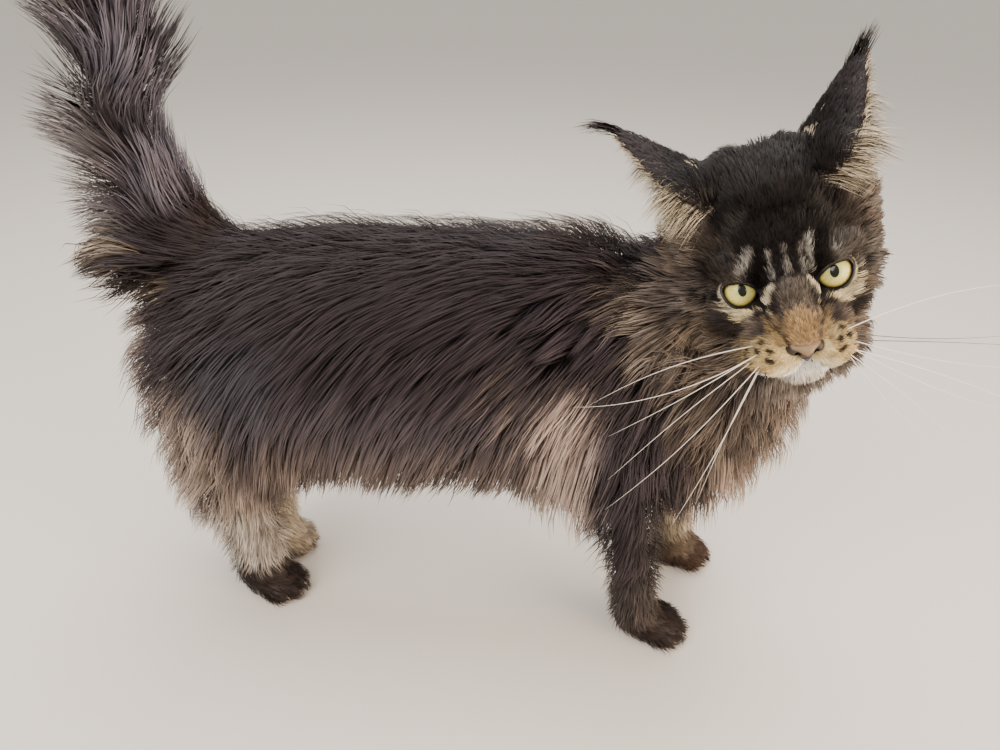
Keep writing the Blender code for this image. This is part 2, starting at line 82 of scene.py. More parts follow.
def head_matrix():
    """From the head frame in millimetres to the body's frame in metres."""
    corners = [corner for name in ("eye_left", "eye_right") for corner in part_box(name)]
    middle = sum(corners, Vector()) / len(corners)
    turn = Euler((radians(HEAD_ROLL), radians(HEAD_NOD), radians(HEAD_TURN)), "XYZ")
    between_eyes = Matrix.Translation((-EYE_CENTRE[0], 0.0, -EYE_CENTRE[2]))
    return Matrix.Translation(middle) @ turn.to_matrix().to_4x4() @ Matrix.Scale(MM, 4) @ between_eyes


HEAD = head_matrix()
HEAD_INVERSE = HEAD.inverted()
MIDDLE_Y = sum(corner.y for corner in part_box("trunk")) / 2
HEAD_TURNED = np.array(HEAD.to_3x3().normalized())  # turns ways of the head frame into the body's
SIDE_NAMES = {-1: "right", 1: "left"}


def in_head(place, side=1):
    """A place of the head frame, in millimetres, in the body's frame; side -1 mirrors it."""
    x, y, z = place
    return HEAD @ Vector((x, side * y, z))


def in_body(place, side):
    """A place given by x, distance from the midline and z, in millimetres, on one side."""
    x, off, z = place
    return x / 1000, MIDDLE_Y + side * off / 1000, z / 1000


def both_sides(*places):
    """Both sides, or only one where the places lie on the midline."""
    return (-1, 1) if any(place[1] for place in places) else (1,)


print("point between the brows:", [round(value, 4) for value in in_head((0, 0, 0))])
print("midline y:", round(MIDDLE_Y, 4))

# %% [markdown]
# ## Colour and node helpers
# Colours are written as the eye sees them, as hex values, and turned into linear light once. One helper adds
# a shader node with its settings and links; the others build, bake, measure and finish pieces.
# %% Helpers


def linear(hex_value):
    """Linear RGB of an sRGB hex colour."""
    channels = np.array([int(hex_value[i : i + 2], 16) for i in (1, 3, 5)]) / 255.0
    return np.where(channels <= 0.04045, channels / 12.92, ((channels + 0.055) / 1.055) ** 2.4)


def rgba(hex_value):
    return (*linear(hex_value), 1.0)


def feed(node, **links):
    """Sets sockets of a node, or links them to outputs; i0, i1 and so on go by number."""
    for key, value in links.items():
        numbered = key[0] == "i" and key[1:].isdigit()
        socket = node.inputs[int(key[1:]) if numbered else key.replace("_", " ")]
        if isinstance(value, bpy.types.NodeSocket):
            node.id_data.links.new(value, socket)
        else:
            socket.default_value = value
    return node


def add_node(tree, kind, settings=None, **links):
    """Adds a node, sets its properties, and sets or links its sockets."""
    node = tree.nodes.new(kind)
    for key, value in (settings or {}).items():
        setattr(node, key, value)
    return feed(node, **links)


def new_material(name, **values):
    """A material whose Principled shader has some values set, its tree and that shader."""
    made = bpy.data.materials.new(name)
    made.use_nodes = True
    return made, made.node_tree, feed(made.node_tree.nodes["Principled BSDF"], **values)


def linked(name, data):
    """A new object in the scene."""
    obj = bpy.data.objects.new(name, data)
    bpy.context.scene.collection.objects.link(obj)
    return obj


def new_object(name, bm):
    """Turns a bmesh into an object whose faces point outwards."""
    bmesh.ops.recalc_face_normals(bm, faces=bm.faces)
    mesh = bpy.data.meshes.new(name)
    bm.to_mesh(mesh)
    bm.free()
    return linked(name, mesh)


def baked(obj):
    """Replaces an object's mesh by the result of its modifiers."""
    graph = bpy.context.evaluated_depsgraph_get()
    mesh = bpy.data.meshes.new_from_object(obj.evaluated_get(graph))
    obj.modifiers.clear()
    obj.data = mesh
    return obj


def array_of(items, name, width, kind=np.float64):
    """A property of many items, as an array of rows."""
    found = np.empty(len(items) * width, kind)
    items.foreach_get(name, found)
    return found.reshape(-1, width)


def unit(rows):
    """Rows scaled to length one."""
    return rows / np.maximum(np.linalg.norm(rows, axis=-1, keepdims=True), 1e-12)


def to_head(places):
    """Places in the head frame, in millimetres."""
    matrix = np.array(HEAD_INVERSE)
    return places @ matrix[:3, :3].T + matrix[:3, 3]


def folded(heads):
    """Places in the head frame, with those of both sides laid over each other."""
    return heads * (1, 0, 1) + np.abs(heads) * (0, 1, 0)


def finish_piece(obj, material, slot, *nodes):
    """Gives a piece its material, hangs it on the body, and hides its solids; the slot is not used."""
    obj.data.materials.clear()
    obj.data.materials.append(material)
    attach(obj, "root")
    if nodes:
        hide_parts(*nodes)
    print(obj.name, "faces:", len(obj.data.polygons))


# %% [markdown]
# ## Camera
# The view is that of someone who stands close and looks down at the cat: the lens is
# wide, and it points about thirty degrees below the horizon.
# %% Camera
CAMERA_PLACE = (0.0246, -0.3964, 0.4451)
CAMERA_TURN, CAMERA_DOWN, CAMERA_TILT = 4.76, 31.02, 0.75
LENS, SENSOR = 25.69, 36.0


def add_camera():
    data = bpy.data.cameras.new("camera")
    data.lens = LENS
    data.sensor_width = SENSOR
    data.sensor_fit = "HORIZONTAL"
    data.clip_start = 0.01
    camera = linked("camera", data)
    look = Euler((radians(90.0 - CAMERA_DOWN), 0.0, radians(CAMERA_TURN)), "XYZ").to_matrix().to_4x4()
    tilt = Matrix.Rotation(radians(CAMERA_TILT), 4, "Z")
    camera.matrix_world = Matrix.Translation(CAMERA_PLACE) @ look @ tilt
    bpy.context.scene.camera = camera


add_camera()
print("camera height:", CAMERA_PLACE[2])

# %% [markdown]
# ## Where the ears are
# The ears are turned back and outwards: each is a root, a tip, and the way its hollow
# faces, in the head frame. Both the skin and the comb chart use them.
# %% Ears
EARS = {
    "right": ((-42, -31, 38), (-77, -71, 74), (-0.20, -0.75, -0.60)),
    "left": ((-43, 26, 39), (-80, 61, 79), (-0.30, 0.90, -0.30)),
}
EAR_HALF_WIDTHS = {"right": 31.0, "left": 37.0}
OUTER_EDGE = {"right": 1.0, "left": -1.0}  # which of its two edges turns away from the crown
EAR_DEPTH, EAR_WALL = 18.0, 1.9
EAR_SUNK, EAR_BOW, EAR_TIP, EAR_TAPER = 15.0, 3.0, 0.05, 0.64
EAR_FOOT, EAR_FOOT_END = 0.45, 0.22  # the sunk end is narrower, so that it stays inside the head
EAR_SWEEP, EAR_UNFOLD = 100.0, 0.45
EAR_STEPS, EAR_POINTS = 16, 19


def ear_axes(side):
    """Sunk root, tip, and the ways along, forward and across of an ear, in the head frame."""
    root, tip, hollow = (Vector(values) for values in EARS[side])
    along = (tip - root).normalized()
    front = (hollow - along * along.dot(hollow)).normalized()
    return root - along * EAR_SUNK, tip, along, front, along.cross(front)


def ear_point(side, t, turn, thickness=0.0):
    """A point of an ear's wall: t from its sunk end to its tip, turn in radians round it."""
    root, tip, _, front, across = ear_axes(side)
    size = EAR_TIP + (1.0 - EAR_TIP) * (1.0 - t) ** EAR_TAPER
    size *= EAR_FOOT + (1.0 - EAR_FOOT) * min(t / EAR_FOOT_END, 1.0) ** 0.7
    wide = max(EAR_HALF_WIDTHS[side] * size - thickness, 0.4)
    deep = max(EAR_DEPTH * size - thickness, 0.4)
    middle = root.lerp(tip, t) + front * (EAR_BOW * sin(pi * t))
    return middle + across * (wide * sin(turn)) - front * (deep * cos(turn))


def ear_sweep(t):
    """How far the wall reaches round to each side, in radians."""
    return radians(EAR_SWEEP * (1.0 - EAR_UNFOLD * t))


print("length of an ear, mm:", round((Vector(EARS["right"][1]) - Vector(EARS["right"][0])).length))

# %% [markdown]
# ## The comb chart
# Fur has a lie: on every part of a cat the hairs point one way, from the nose
# backwards and from the spine downwards. The chart says, for places over the body, which
# way the coat lies, how long it is, how deep it stands over the skin, how closely it
# follows the body instead of hanging free, and how far its tips sink.
# Anywhere else the nearest places are mixed.
# %% Comb chart
# Piece, place (x, distance from the midline, z), lie, length, depth, cling and, where it
# isn't none, droop. Places, lengths, depths and droops are in millimetres.
BODY_COMB = (
    ("back", (75, 0, 300), (-1, 0, 0.08), 44, 17, 0.8),
    ("back", (50, 0, 303), (-0.96, 0, 0.16), 44, 13, 0.7),
    ("back", (25, 0, 302), (-1, 0, 0), 42, 12, 1),
    ("back", (-60, 0, 300), (-1, 0, 0), 42, 11, 1),
    ("back", (-130, 0, 297), (-1, 0, 0), 40, 10, 1),
    ("back", (-190, 0, 288), (-1, 0, 0.05), 36, 9, 1),
    ("back", (60, 45, 280), (-0.9, 0.25, -0.32), 44, 17, 1),
    ("back", (-40, 45, 280), (-0.88, 0.25, -0.4), 44, 14, 1),
    ("back", (-150, 45, 275), (-0.8, 0.25, -0.5), 42, 13, 1),
    ("flank", (60, 65, 235), (-0.62, 0.05, -0.78), 46, 15, 1),
    ("flank", (-20, 66, 235), (-0.68, 0.05, -0.72), 48, 15, 1),
    ("flank", (-100, 66, 235), (-0.64, 0.05, -0.76), 48, 15, 1),
    ("flank", (-180, 66, 235), (-0.52, 0.05, -0.85), 46, 14, 1),
    ("flank", (50, 66, 180), (-0.1, 0.05, -1), 50, 15, 0.9),
    ("flank", (-30, 64, 180), (-0.42, 0.05, -0.9), 50, 16, 0.9),
    ("flank", (-100, 62, 180), (-0.34, 0.05, -0.94), 50, 16, 0.9),
    ("flank", (40, 50, 130), (0, 0, -1), 56, 20, 0.1),
    ("flank", (-30, 44, 130), (-0.22, 0, -1), 54, 21, 0.1),
    ("flank", (-100, 44, 130), (-0.18, 0, -1), 52, 20, 0.1),
    ("flank", (20, 0, 118), (-0.5, 0, -0.8), 42, 22, 0.2),
    ("flank", (-60, 0, 118), (-0.5, 0, -0.8), 42, 22, 0.2),
    ("flank", (-120, 0, 118), (-0.4, 0, -0.9), 38, 20, 0.2),
    ("haunch", (-185, 70, 190), (-0.28, 0.05, -0.95), 42, 14, 0.9),
    ("haunch", (-150, 66, 150), (-0.2, 0.05, -1), 36, 13, 0.8),
    ("haunch", (-215, 50, 150), (-0.45, 0.15, -0.9), 44, 18, 0.4),
    ("haunch", (-235, 30, 200), (-0.6, 0.15, -0.8), 48, 20, 0.4),
    ("haunch", (-240, 0, 240), (-0.8, 0, -0.6), 46, 22, 0.3),
    ("haunch", (-220, 30, 120), (-0.4, 0.1, -1), 38, 15, 0.4),
    ("haunch", (-190, 50, 110), (-0.2, 0, -1), 26, 9, 0.8),
    ("chest", (110, 60, 230), (-0.55, 0.1, -0.85), 42, 16, 0.9),
    ("chest", (80, 64, 180), (-0.08, 0.05, -1), 44, 15, 0.8),
    ("chest", (50, 62, 140), (0.02, 0.02, -1), 52, 16, 0.3),
    ("chest", (140, 45, 190), (0.1, 0.1, -1), 44, 20, 0.5),
    ("chest", (150, 0, 190), (0.3, 0, -1), 48, 24, 0.4),
    ("chest", (120, 0, 140), (0.05, 0, -1), 40, 20, 0.4),
    ("chest", (60, 0, 125), (-0.3, 0, -0.95), 38, 18, 0.4),
    ("legs", (80, 58, 130), (-0.2, 0.05, -1), 28, 6.5, 0.9),
    ("legs", (118, 58, 130), (0.02, 0.05, -1), 28, 6.5, 0.9),
    ("legs", (86, 58, 90), (-0.12, 0.05, -1), 20, 4.5, 0.9),
    ("legs", (125, 58, 90), (0, 0.05, -1), 20, 4.5, 0.9),
    ("legs", (92, 56, 45), (0, 0, -1), 15, 3.2, 1),
    ("legs", (131, 56, 45), (0, 0, -1), 14, 3.2, 1),
    ("legs", (-196, 40, 80), (-0.15, 0.05, -1), 19, 6, 0.9),
    ("legs", (-192, 36, 45), (0.05, 0, -1), 14, 4, 1),
    ("paws", (108, 52, 22), (0.85, 0, -0.5), 9, 2.8, 1),
    ("paws", (125, 52, 10), (0.9, 0, -0.45), 8, 2.6, 0.9),
    ("paws", (140, 56, 20), (0.85, 0, -0.5), 9, 2.8, 1),
    ("paws", (158, 56, 10), (0.9, 0, -0.45), 8, 2.6, 0.9),
    ("paws", (-188, 38, 22), (0.85, 0, -0.5), 10, 3, 1),
    ("paws", (-170, 38, 10), (0.9, 0, -0.45), 9, 2.8, 0.9),
)
# The tail's hairs leave the bone steeply, and its rear ones arch over.
TAIL_COMB = (
    ("tail", (-205, 15, 320), (0.25, 0.25, 1), 38, 18, 0.2),
    ("tail", (-222, 22, 370), (0.85, 0.3, 0.75), 58, 22, 0, 4),
    ("tail", (-212, 22, 430), (0.9, 0.3, 0.75), 62, 22, 0, 5),
    ("tail", (-215, 15, 490), (0.8, 0.2, 0.85), 58, 22, 0, 4),
    ("tail", (-232, 30, 330), (-0.25, 0.7, 0.55), 44, 20, 0, 8),
    ("tail", (-238, 30, 400), (-0.25, 0.75, 0.75), 50, 20, 0, 8),
    ("tail", (-235, 24, 470), (-0.2, 0.6, 0.9), 50, 20, 0, 6),
    ("tail", (-244, 0, 300), (-0.95, 0, -0.15), 50, 20, 0, 12),
    ("tail", (-250, 0, 350), (-0.9, 0, 0.4), 56, 22, 0, 14),
    ("tail", (-248, 0, 410), (-0.85, 0, 0.6), 60, 22, 0, 14),
    ("tail", (-242, 0, 460), (-0.8, 0, 0.8), 58, 22, 0, 11),
    ("tail", (-250, 0, 525), (-0.4, 0, 1), 48, 20, 0, 4),
)
# The head in its own frame, the same on both sides.
HEAD_COMB = (
    ("muzzle", (30, 0, -12), (-1, 0, 0.45), 4, 1.2, 1),
    ("muzzle", (18, 0, 0), (-1, 0, 0.6), 5, 1.6, 1),
    ("face", (8, 10, -6), (-0.7, 0.3, 0.7), 5, 1.6, 1),
    ("face", (4, 0, 12), (-0.5, 0, 1), 5.5, 2.4, 1),
    ("face", (0, 16, 14), (-0.5, 0.15, 1), 6, 2.6, 1),
    ("face", (-4, 32, 12), (-0.6, 0.45, 0.8), 7.5, 3.4, 1),
    ("face", (-4, 0, 32), (-0.6, 0, 1), 9, 4.4, 1),
    ("face", (-6, 22, 30), (-0.6, 0.25, 0.9), 9, 4.4, 1),
    ("muzzle", (12, 12, -15), (-0.8, 0.6, -0.05), 5, 1.6, 1),
    ("face", (4, 22, -18), (-0.6, 0.8, -0.25), 7, 2.4, 1),
    ("face", (0, 34, -8), (-0.7, 0.75, -0.1), 8.5, 3, 1),
    ("muzzle", (33, 6, -25), (-0.1, 0.9, -0.4), 3, 1, 1),
    ("muzzle", (27, 16, -24), (-0.6, 0.8, -0.2), 3.2, 1.2, 1),
    ("muzzle", (18, 22, -32), (-0.7, 0.6, -0.5), 7, 2.2, 1),
    ("muzzle", (26, 0, -43), (-0.2, 0, -1), 6, 2.2, 0.9),
    ("face", (12, 8, -50), (-0.5, 0.1, -1), 12, 4, 0.8),
    ("crown", (-25, 0, 54), (-0.9, 0, 0.55), 15, 6, 1),
    ("crown", (-25, 24, 46), (-0.8, 0.25, 0.5), 13, 5.5, 1),
    ("crown", (-60, 0, 58), (-1, 0, -0.05), 22, 8, 1),
    ("crown", (-85, 0, 25), (-0.6, 0, -0.8), 34, 14, 0.8),
    ("crown", (-70, 38, 20), (-0.7, 0.4, -0.5), 28, 12, 0.8),
    ("cheeks", (-20, 46, 12), (-0.75, 0.6, 0), 12, 4.5, 1),
    ("cheeks", (-12, 44, -8), (-0.7, 0.7, -0.2), 13, 5, 0.9),
    ("cheeks", (-4, 36, -26), (-0.6, 0.65, -0.5), 16, 6, 0.9),
    ("cheeks", (-30, 52, -14), (-0.75, 0.45, -0.6), 28, 9, 0.7, 2),
    ("cheeks", (-25, 44, -38), (-0.4, 0.45, -0.95), 36, 15, 0.3, 4),
    ("cheeks", (0, 22, -44), (-0.4, 0.35, -0.95), 18, 7, 0.7),
    ("cheeks", (-50, 52, 0), (-0.8, 0.4, -0.5), 32, 12, 0.7, 2),
    ("ruff", (0, 0, -60), (0.05, 0, -1), 34, 16, 0.4),
    ("ruff", (-30, 36, -62), (-0.1, 0.35, -1), 44, 20, 0.3),
    ("ruff", (0, 20, -82), (0.1, 0.25, -1), 46, 22, 0.4),
    ("ruff", (0, -40, -90), (0.1, -0.2, -1), 46, 22, 0.5),
)
# Neck and breast, in the body's frame.
NECK_COMB = (
    ("ruff", (50, 50, 270), (-0.6, 0.25, -0.75), 48, 22, 0.7),
    ("ruff", (70, 20, 295), (-0.95, 0.1, -0.1), 48, 22, 0.5),
    ("ruff", (110, 50, 250), (-0.25, 0.2, -0.95), 48, 24, 0.4),
    ("ruff", (150, 40, 240), (0.15, 0.15, -1), 48, 26, 0.4),
    ("ruff", (170, 0, 230), (0.3, 0, -1), 48, 26, 0.3),
)
EAR_COAT = (6, 1.5, 1.0, 0)
EAR_STATIONS = (0.3, 0.45, 0.6, 0.75, 0.9)
LEFT_CHEEK = 0.72  # the left cheek's fur is shorter, pressed by the turn of the head
BROAD_PIECES = ("back", "flank", "haunch", "chest", "ruff", "tail")
BROAD_SPREAD, FINE_SPREAD = 14 * MM, 5 * MM


def chart():
    """The comb chart as arrays, in the body's frame and in metres."""
    rows = []
    for piece, place, (lx, ly, lz), *rest in BODY_COMB + TAIL_COMB + NECK_COMB:
        for side in both_sides(place):
            rows.append((piece, in_body(place, side), (lx, side * ly, lz), (*rest, 0)[:4]))
    turn = HEAD.to_3x3()
    for piece, place, (lx, ly, lz), length, *others in HEAD_COMB:
        for side in both_sides(place):
            scale = LEFT_CHEEK if piece == "cheeks" and side > 0 else 1.0
            lie = turn @ Vector((lx, side * ly, lz))
            rows.append((piece, in_head(place, side), lie, (length * scale, *others, 0)[:4]))
    for name in EARS:
        for t in EAR_STATIONS:
            for way in (0.0, -0.8, 0.8):
                place = HEAD @ ear_point(name, t, way * ear_sweep(t))
                rows.append(("ears", place, turn @ ear_axes(name)[2], EAR_COAT))
    places = np.array([tuple(row[1]) for row in rows])
    lies = np.array([tuple(Vector(row[2]).normalized()) for row in rows])
    lengths, depths, clings, droops = np.array([row[3] for row in rows], float).T
    return [row[0] for row in rows], places, lies, lengths * MM, depths * MM, clings, droops * MM


CHART_PIECES, CHART_PLACES, CHART_LIES, *CHART_NUMBERS = chart()
CHART_LENGTHS, CHART_DEPTHS = CHART_NUMBERS[:2]
# How gently one place of the chart gives way to the next: most gently on the body.
SPREADS = np.where(np.isin(CHART_PIECES, BROAD_PIECES), BROAD_SPREAD, FINE_SPREAD)
print("places in the chart:", len(CHART_PLACES))


def shares(places):
    """How much each place of the chart counts at each given place."""
    apart = ((places[:, None, :] - CHART_PLACES[None, :, :]) ** 2).sum(2) + SPREADS**2
    weights = apart**-2.0
    return weights / weights.sum(1, keepdims=True)


# %% [markdown]
# ## The body under the coat
# The solids are the outline of the coat, so the skin lies inside them by the coat's
# depth. Copies of the solids are swollen a little so that they overlap, fused on a grid,
# smoothed, and then pushed inwards by the depth in the chart.
# %% Body core
LIMBS = ("thigh", "shank", "hind_paw", "upper_foreleg", "lower_foreleg", "forepaw")
BODY_NODES = ["head", "tail_base", "neck", "chest", "trunk", "hindquarters"]
BODY_NODES += [limb + side for limb in LIMBS for side in ("_left", "_right")]
OVERLAP = 0.4 * MM
SAME_POINT = 0.01 * MM
BODY_CELL = 2.6 * MM
SOLE_HEIGHT = 2.5 * MM  # below this the coat has no depth
FLOOR_CLEAR = 0.2 * MM
# Masses that fill the hollow of the ruff behind the jaw, in the head frame.
THROAT = (
    ((-18, -11, -40), (38, 43, 32)),
    ((-16, -6, -54), (34, 42, 28)),
    ((-30, -40, -28), (28, 24, 30)),
    ((-34, 20, -28), (24, 18, 26)),
)
FACE_CUT = (-8.0, 0.0, 0.0)  # in front of this, in the head frame, the face is built apart
TAIL_CUT = (0.0, 0.0, 0.292)  # above this the tail is built apart


def ellipsoid(bm, centre, radii, frame_matrix, segments=32, rings=20):
    place = frame_matrix @ Matrix.LocRotScale(Vector(centre), None, Vector(radii))
    bmesh.ops.create_uvsphere(bm, u_segments=segments, v_segments=rings, radius=1.0, matrix=place)


def cut_off(bm, place, way):
    """Cuts a copy at a plane, drops what lies beyond and closes it."""
    geometry = bm.verts[:] + bm.edges[:] + bm.faces[:]
    cut = bmesh.ops.bisect_plane(bm, geom=geometry, plane_co=place, plane_no=way, clear_outer=True)
    edges = [item for item in cut["geom_cut"] if isinstance(item, bmesh.types.BMEdge)]
    bmesh.ops.holes_fill(bm, edges=edges)


def swollen_copies(names):
    """One bmesh with merged copies of solids, each swollen so that neighbours overlap."""
    joined = bmesh.new()
    for name in names:
        one = bmesh.new()
        one.from_mesh(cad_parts[name].data)
        bmesh.ops.remove_doubles(one, verts=one.verts, dist=SAME_POINT)
        if name == "head":
            cut_off(one, HEAD @ Vector(FACE_CUT), HEAD.to_3x3() @ Vector((1, 0, 0)))
        if name == "tail_base":
            cut_off(one, Vector(TAIL_CUT), Vector((0, 0, 1)))
        one.normal_update()
        for vert in one.verts:
            vert.co += vert.normal * OVERLAP
        mesh = bpy.data.meshes.new("copy")
        one.to_mesh(mesh)
        one.free()
        joined.from_mesh(mesh)
        bpy.data.meshes.remove(mesh)
    for centre, radii in THROAT:
        ellipsoid(joined, centre, radii, HEAD)
    return joined


def fused(obj, cell, rounds):
    """Fuses overlapping shapes on a grid and smooths its steps away in some rounds."""
    fuse = obj.modifiers.new("fuse", "REMESH")
    fuse.mode = "VOXEL"
    fuse.voxel_size = cell
    soften = obj.modifiers.new("soften", "SMOOTH")
    soften.factor = 0.5
    soften.iterations = rounds
    return baked(obj)


def pushed_in(obj):
    """Moves a surface inwards by the depth of the coat, and keeps it above the floor."""
    mesh = obj.data
    places = array_of(mesh.vertices, "co", 3)
    normals = array_of(mesh.vertices, "normal", 3)
    depths = shares(places) @ CHART_DEPTHS
    depths = np.where(places[:, 2] < SOLE_HEIGHT, FLOOR_CLEAR, depths)
    places = places - normals * depths[:, None]
    places[:, 2] = np.maximum(places[:, 2], FLOOR_CLEAR)
    mesh.vertices.foreach_set("co", places.ravel())
    mesh.update()


body = new_object("body core", swollen_copies(BODY_NODES))
fused(body, BODY_CELL, 4)
pushed_in(body)
fused(body, BODY_CELL, 6)
print("body core faces:", len(body.data.polygons))

# %% [markdown]
# ## Tail bone
# Under the plume the tail itself is thin: a tapering tube along the middle of the solids.
# %% Tail core
# Place of each station and half width, in millimetres.
TAIL_LINE = (
    ((-180, 0, 258), 19),
    ((-205, 0, 283), 16),
    ((-226, 1, 310), 14.5),
    ((-236, 2, 345), 13.5),
    ((-232, 4, 385), 13),
    ((-226, 5, 425), 12.5),
    ((-227, 6, 460), 11),
    ((-233, 7, 492), 8.5),
    ((-242, 8, 512), 5.5),
    ((-248, 9, 522), 2.5),
)


def ring(bm, centre, along, side, wide, deep, count):
    """A ring of points square to a direction, wide towards the side and deep across it."""
    across = (Vector(side) - along * along.dot(Vector(side))).normalized()
    turn = Matrix((across, along.cross(across), along)).transposed().to_4x4()
    place = Matrix.Translation(centre) @ turn @ Matrix.Diagonal((wide, deep, 1.0, 1.0))
    return bmesh.ops.create_circle(bm, segments=count, radius=1.0, matrix=place)["verts"]


def band(bm, lower, upper):
    """Joins two rings of points by four-sided faces."""
    for i in range(len(lower)):
        j = (i + 1) % len(lower)
        bm.faces.new((lower[i], lower[j], upper[j], upper[i]))


def lofted(bm, rings):
    """Joins rings of points in a row and closes both ends."""
    for lower, upper in zip(rings, rings[1:]):
        band(bm, lower, upper)
    bm.faces.new(rings[0][::-1])
    bm.faces.new(rings[-1])


def tube(bm, stations, side, count=24):
    """Lofts rings along a path; side is the way in which they are wide."""
    centres = [Vector(station[0]) for station in stations]
    rings = []
    for index, (_, wide, deep) in enumerate(stations):
        along = (centres[min(index + 1, len(centres) - 1)] - centres[max(index - 1, 0)]).normalized()
        rings.append(ring(bm, centres[index], along, side, wide, deep, count))
    lofted(bm, rings)


bm = bmesh.new()
tube(bm, [(in_body(place, 1), half * MM, half * MM) for place, half in TAIL_LINE], (0, 1, 0))
tail_core = new_object("tail core", bm)
print("tail core stations:", len(TAIL_LINE))

# %% [markdown]
# ## Skull, muzzle and ears
# A face has short fur, so its own forms show: the broad nose bridge, square muzzle pads,
# the ridge that shades each eye, cheekbones, and lids stretched over round eyeballs. They
# are built as overlapping masses in the head frame and fused on a finer grid.
# %% Head core
HEAD_CELL = 1.2 * MM
LID_RADIUS = 12.0
HEAD_MIDLINE = (
    ((-44, 3, 11), (38, 39, 35)),  # cranium
    ((-20, 0, 11), (20, 31, 24)),  # brow
    ((-17, 0, -33), (35, 22, 16)),  # jaw
    ((15.0, 0, -38.5), (12.5, 12, 9)),  # chin
    ((-34, 0, -42), (32, 30, 24)),  # throat
    ((-14, 0, -46), (26, 34, 16)),  # under the jaw
    ((-58, 0, -20), (30, 34, 36)),  # nape
    ((-8, 0, 4), (14, 14, 12)),  # stop, between the eyes
    ((7, 0, -5), (13, 11.5, 10.5)),  # bridge of the nose
    ((19, 0, -13), (12, 10, 9.5)),
    ((26.5, 0, -17.5), (8.5, 8.5, 7)),
)
# Place and radii on both sides, and how much nearer the midline it lies on the left, mm.
HEAD_PAIRED = (
    ((-24, 25, -12), (28, 15, 20), 3),  # cheek
    ((-42, 28, -14), (26, 15, 26), 7),  # side of the jaw
    ((-38, 27, 12), (28, 22, 28), 0),  # temple
    ((-44, 27, 36), (20, 17, 18), 0),  # root of the ear
    ((-9, 21, 9.5), (9.5, 15, 7), 0),  # ridge over the eye
    ((-4, 27, -17), (12, 13, 9), 3),  # cheekbone
    ((2, 13, -12), (12, 8, 9), 0),  # between eye and muzzle
    ((8, 14, -22), (14, 12, 12), 0),  # side of the muzzle
    ((19.5, 11.5, -27), (14.5, 12.5, 10.5), 0),  # whisker pad
    ((15, 15, -31), (12, 10.5, 8.5), 0),  # back of the whisker pad
    ((-20, 28, -34), (24, 17, 18), 12),  # fills the crease behind the jaw
)


def head_masses():
    bm = bmesh.new()
    for centre, radii in HEAD_MIDLINE:
        ellipsoid(bm, centre, radii, HEAD)
    for side in (-1, 1):
        for (x, y, z), radii, drawn_in in HEAD_PAIRED:
            ellipsoid(bm, (x, y - drawn_in if side > 0 else -y, z), radii, HEAD)
        x, y, z = EYE_CENTRE
        ellipsoid(bm, (x, side * y, z), (LID_RADIUS,) * 3, HEAD)
    return bm


def ear_shell(side):
    """A curved, thin shell that narrows to a point and is open in front."""
    bm = bmesh.new()
    rings = []
    for step in range(EAR_STEPS + 1):
        t = step / EAR_STEPS
        points = []
        for thickness, way in ((0.0, 1.0), (EAR_WALL * (1.0 - 0.4 * t), -0.98)):
            for k in range(EAR_POINTS):
                turn = way * ear_sweep(t) * (2.0 * k / (EAR_POINTS - 1) - 1.0)
                points.append(bm.verts.new(HEAD @ ear_point(side, t, turn, thickness)))
        rings.append(points)
    lofted(bm, rings)
    return new_object("ear shell " + side, bm)


head = fused(new_object("head core", head_masses()), HEAD_CELL, 9)
print("head core faces:", len(head.data.polygons))

# %% [markdown]
# ## Toes
# Each paw has four toes side by side, the middle two further forward.
# %% Paw masses
PAW_CELL = 1.15 * MM
# Middle of the sole, and the way the paw points in degrees.
PAWS = ((0.1065, -0.0203, -14.0), (0.1355, 0.0577, 4.0), (-0.1895, -0.0073, -14.0), (-0.1975, 0.0407, -2.0))
TOES = ((-12.2, 13.0), (-4.4, 19.0), (4.4, 19.0), (12.2, 13.0))  # aside, ahead, in millimetres
TOE_PARTS = (
    ((0.0, 0.0, 7.6), (9.6, 5.0, 7.3)),  # the toe itself
    ((-7.0, 0.0, 10.5), (9.0, 4.6, 7.0)),  # its knuckle
)


def paw_frame(paw):
    x, y, turn = paw
    return Matrix.Translation((x, y, 0.0)) @ Matrix.Rotation(radians(turn), 4, "Z") @ Matrix.Scale(MM, 4)


def toes():
    bm = bmesh.new()
    for paw in PAWS:
        place = paw_frame(paw)
        ellipsoid(bm, (-4, 0, 8.5), (14, 13.5, 8.2), place)
        for aside, ahead in TOES:
            for (x, y, z), radii in TOE_PARTS:
                ellipsoid(bm, (x + ahead, y + aside, z), radii, place, 20, 14)
    return new_object("toes", bm)


paws = fused(toes(), PAW_CELL, 2)
print("paw faces:", len(paws.data.polygons))

# %% [markdown]
# ## One skin
# Body, tail, head and ears are united into one closed surface, and the almond openings
# of the lids and the pockets of the eyeballs are cut out of it. A cat's upper lid runs
# almost straight down to the nose, which gives it its stern look.
# %% Skin
# Lid margin round the opening, from the outer corner over the top: inwards to the nose
# and up from the middle of the eyeball, in millimetres.
LID_MARGIN = (
    (-8.3, 6.2), (-6.0, 8.6), (-2.2, 9.3), (1.5, 8.8), (5.2, 6.9), (8.4, 3.6), (10.2, -0.4), (10.7, -3.6),
    (8.0, -3.9), (5.2, -4.0), (1.6, -4.6), (-2.2, -3.7), (-5.6, -0.9), (-7.8, 2.8),
)
LID_MIDDLE = (1.5, 2.0)
POCKET = 0.15  # room round the eyeball, mm
OPENING_STEPS = 5
# Rings of the cutter: share of the lid's radius and mm ahead, from inside the eyeball outwards.
OPENING_RINGS = ((0.35, 0.0), (0.93, 0.0), (1.0, 16.0))
SOFT_PIECES = ("cheeks", "ruff", "chest", "flank", "back", "haunch")
SOFT_ROUNDS = 60
SOFT_SHARE, SOFT_STEP = 0.55, 0.5  # share of soft pieces from which it starts, and its strength


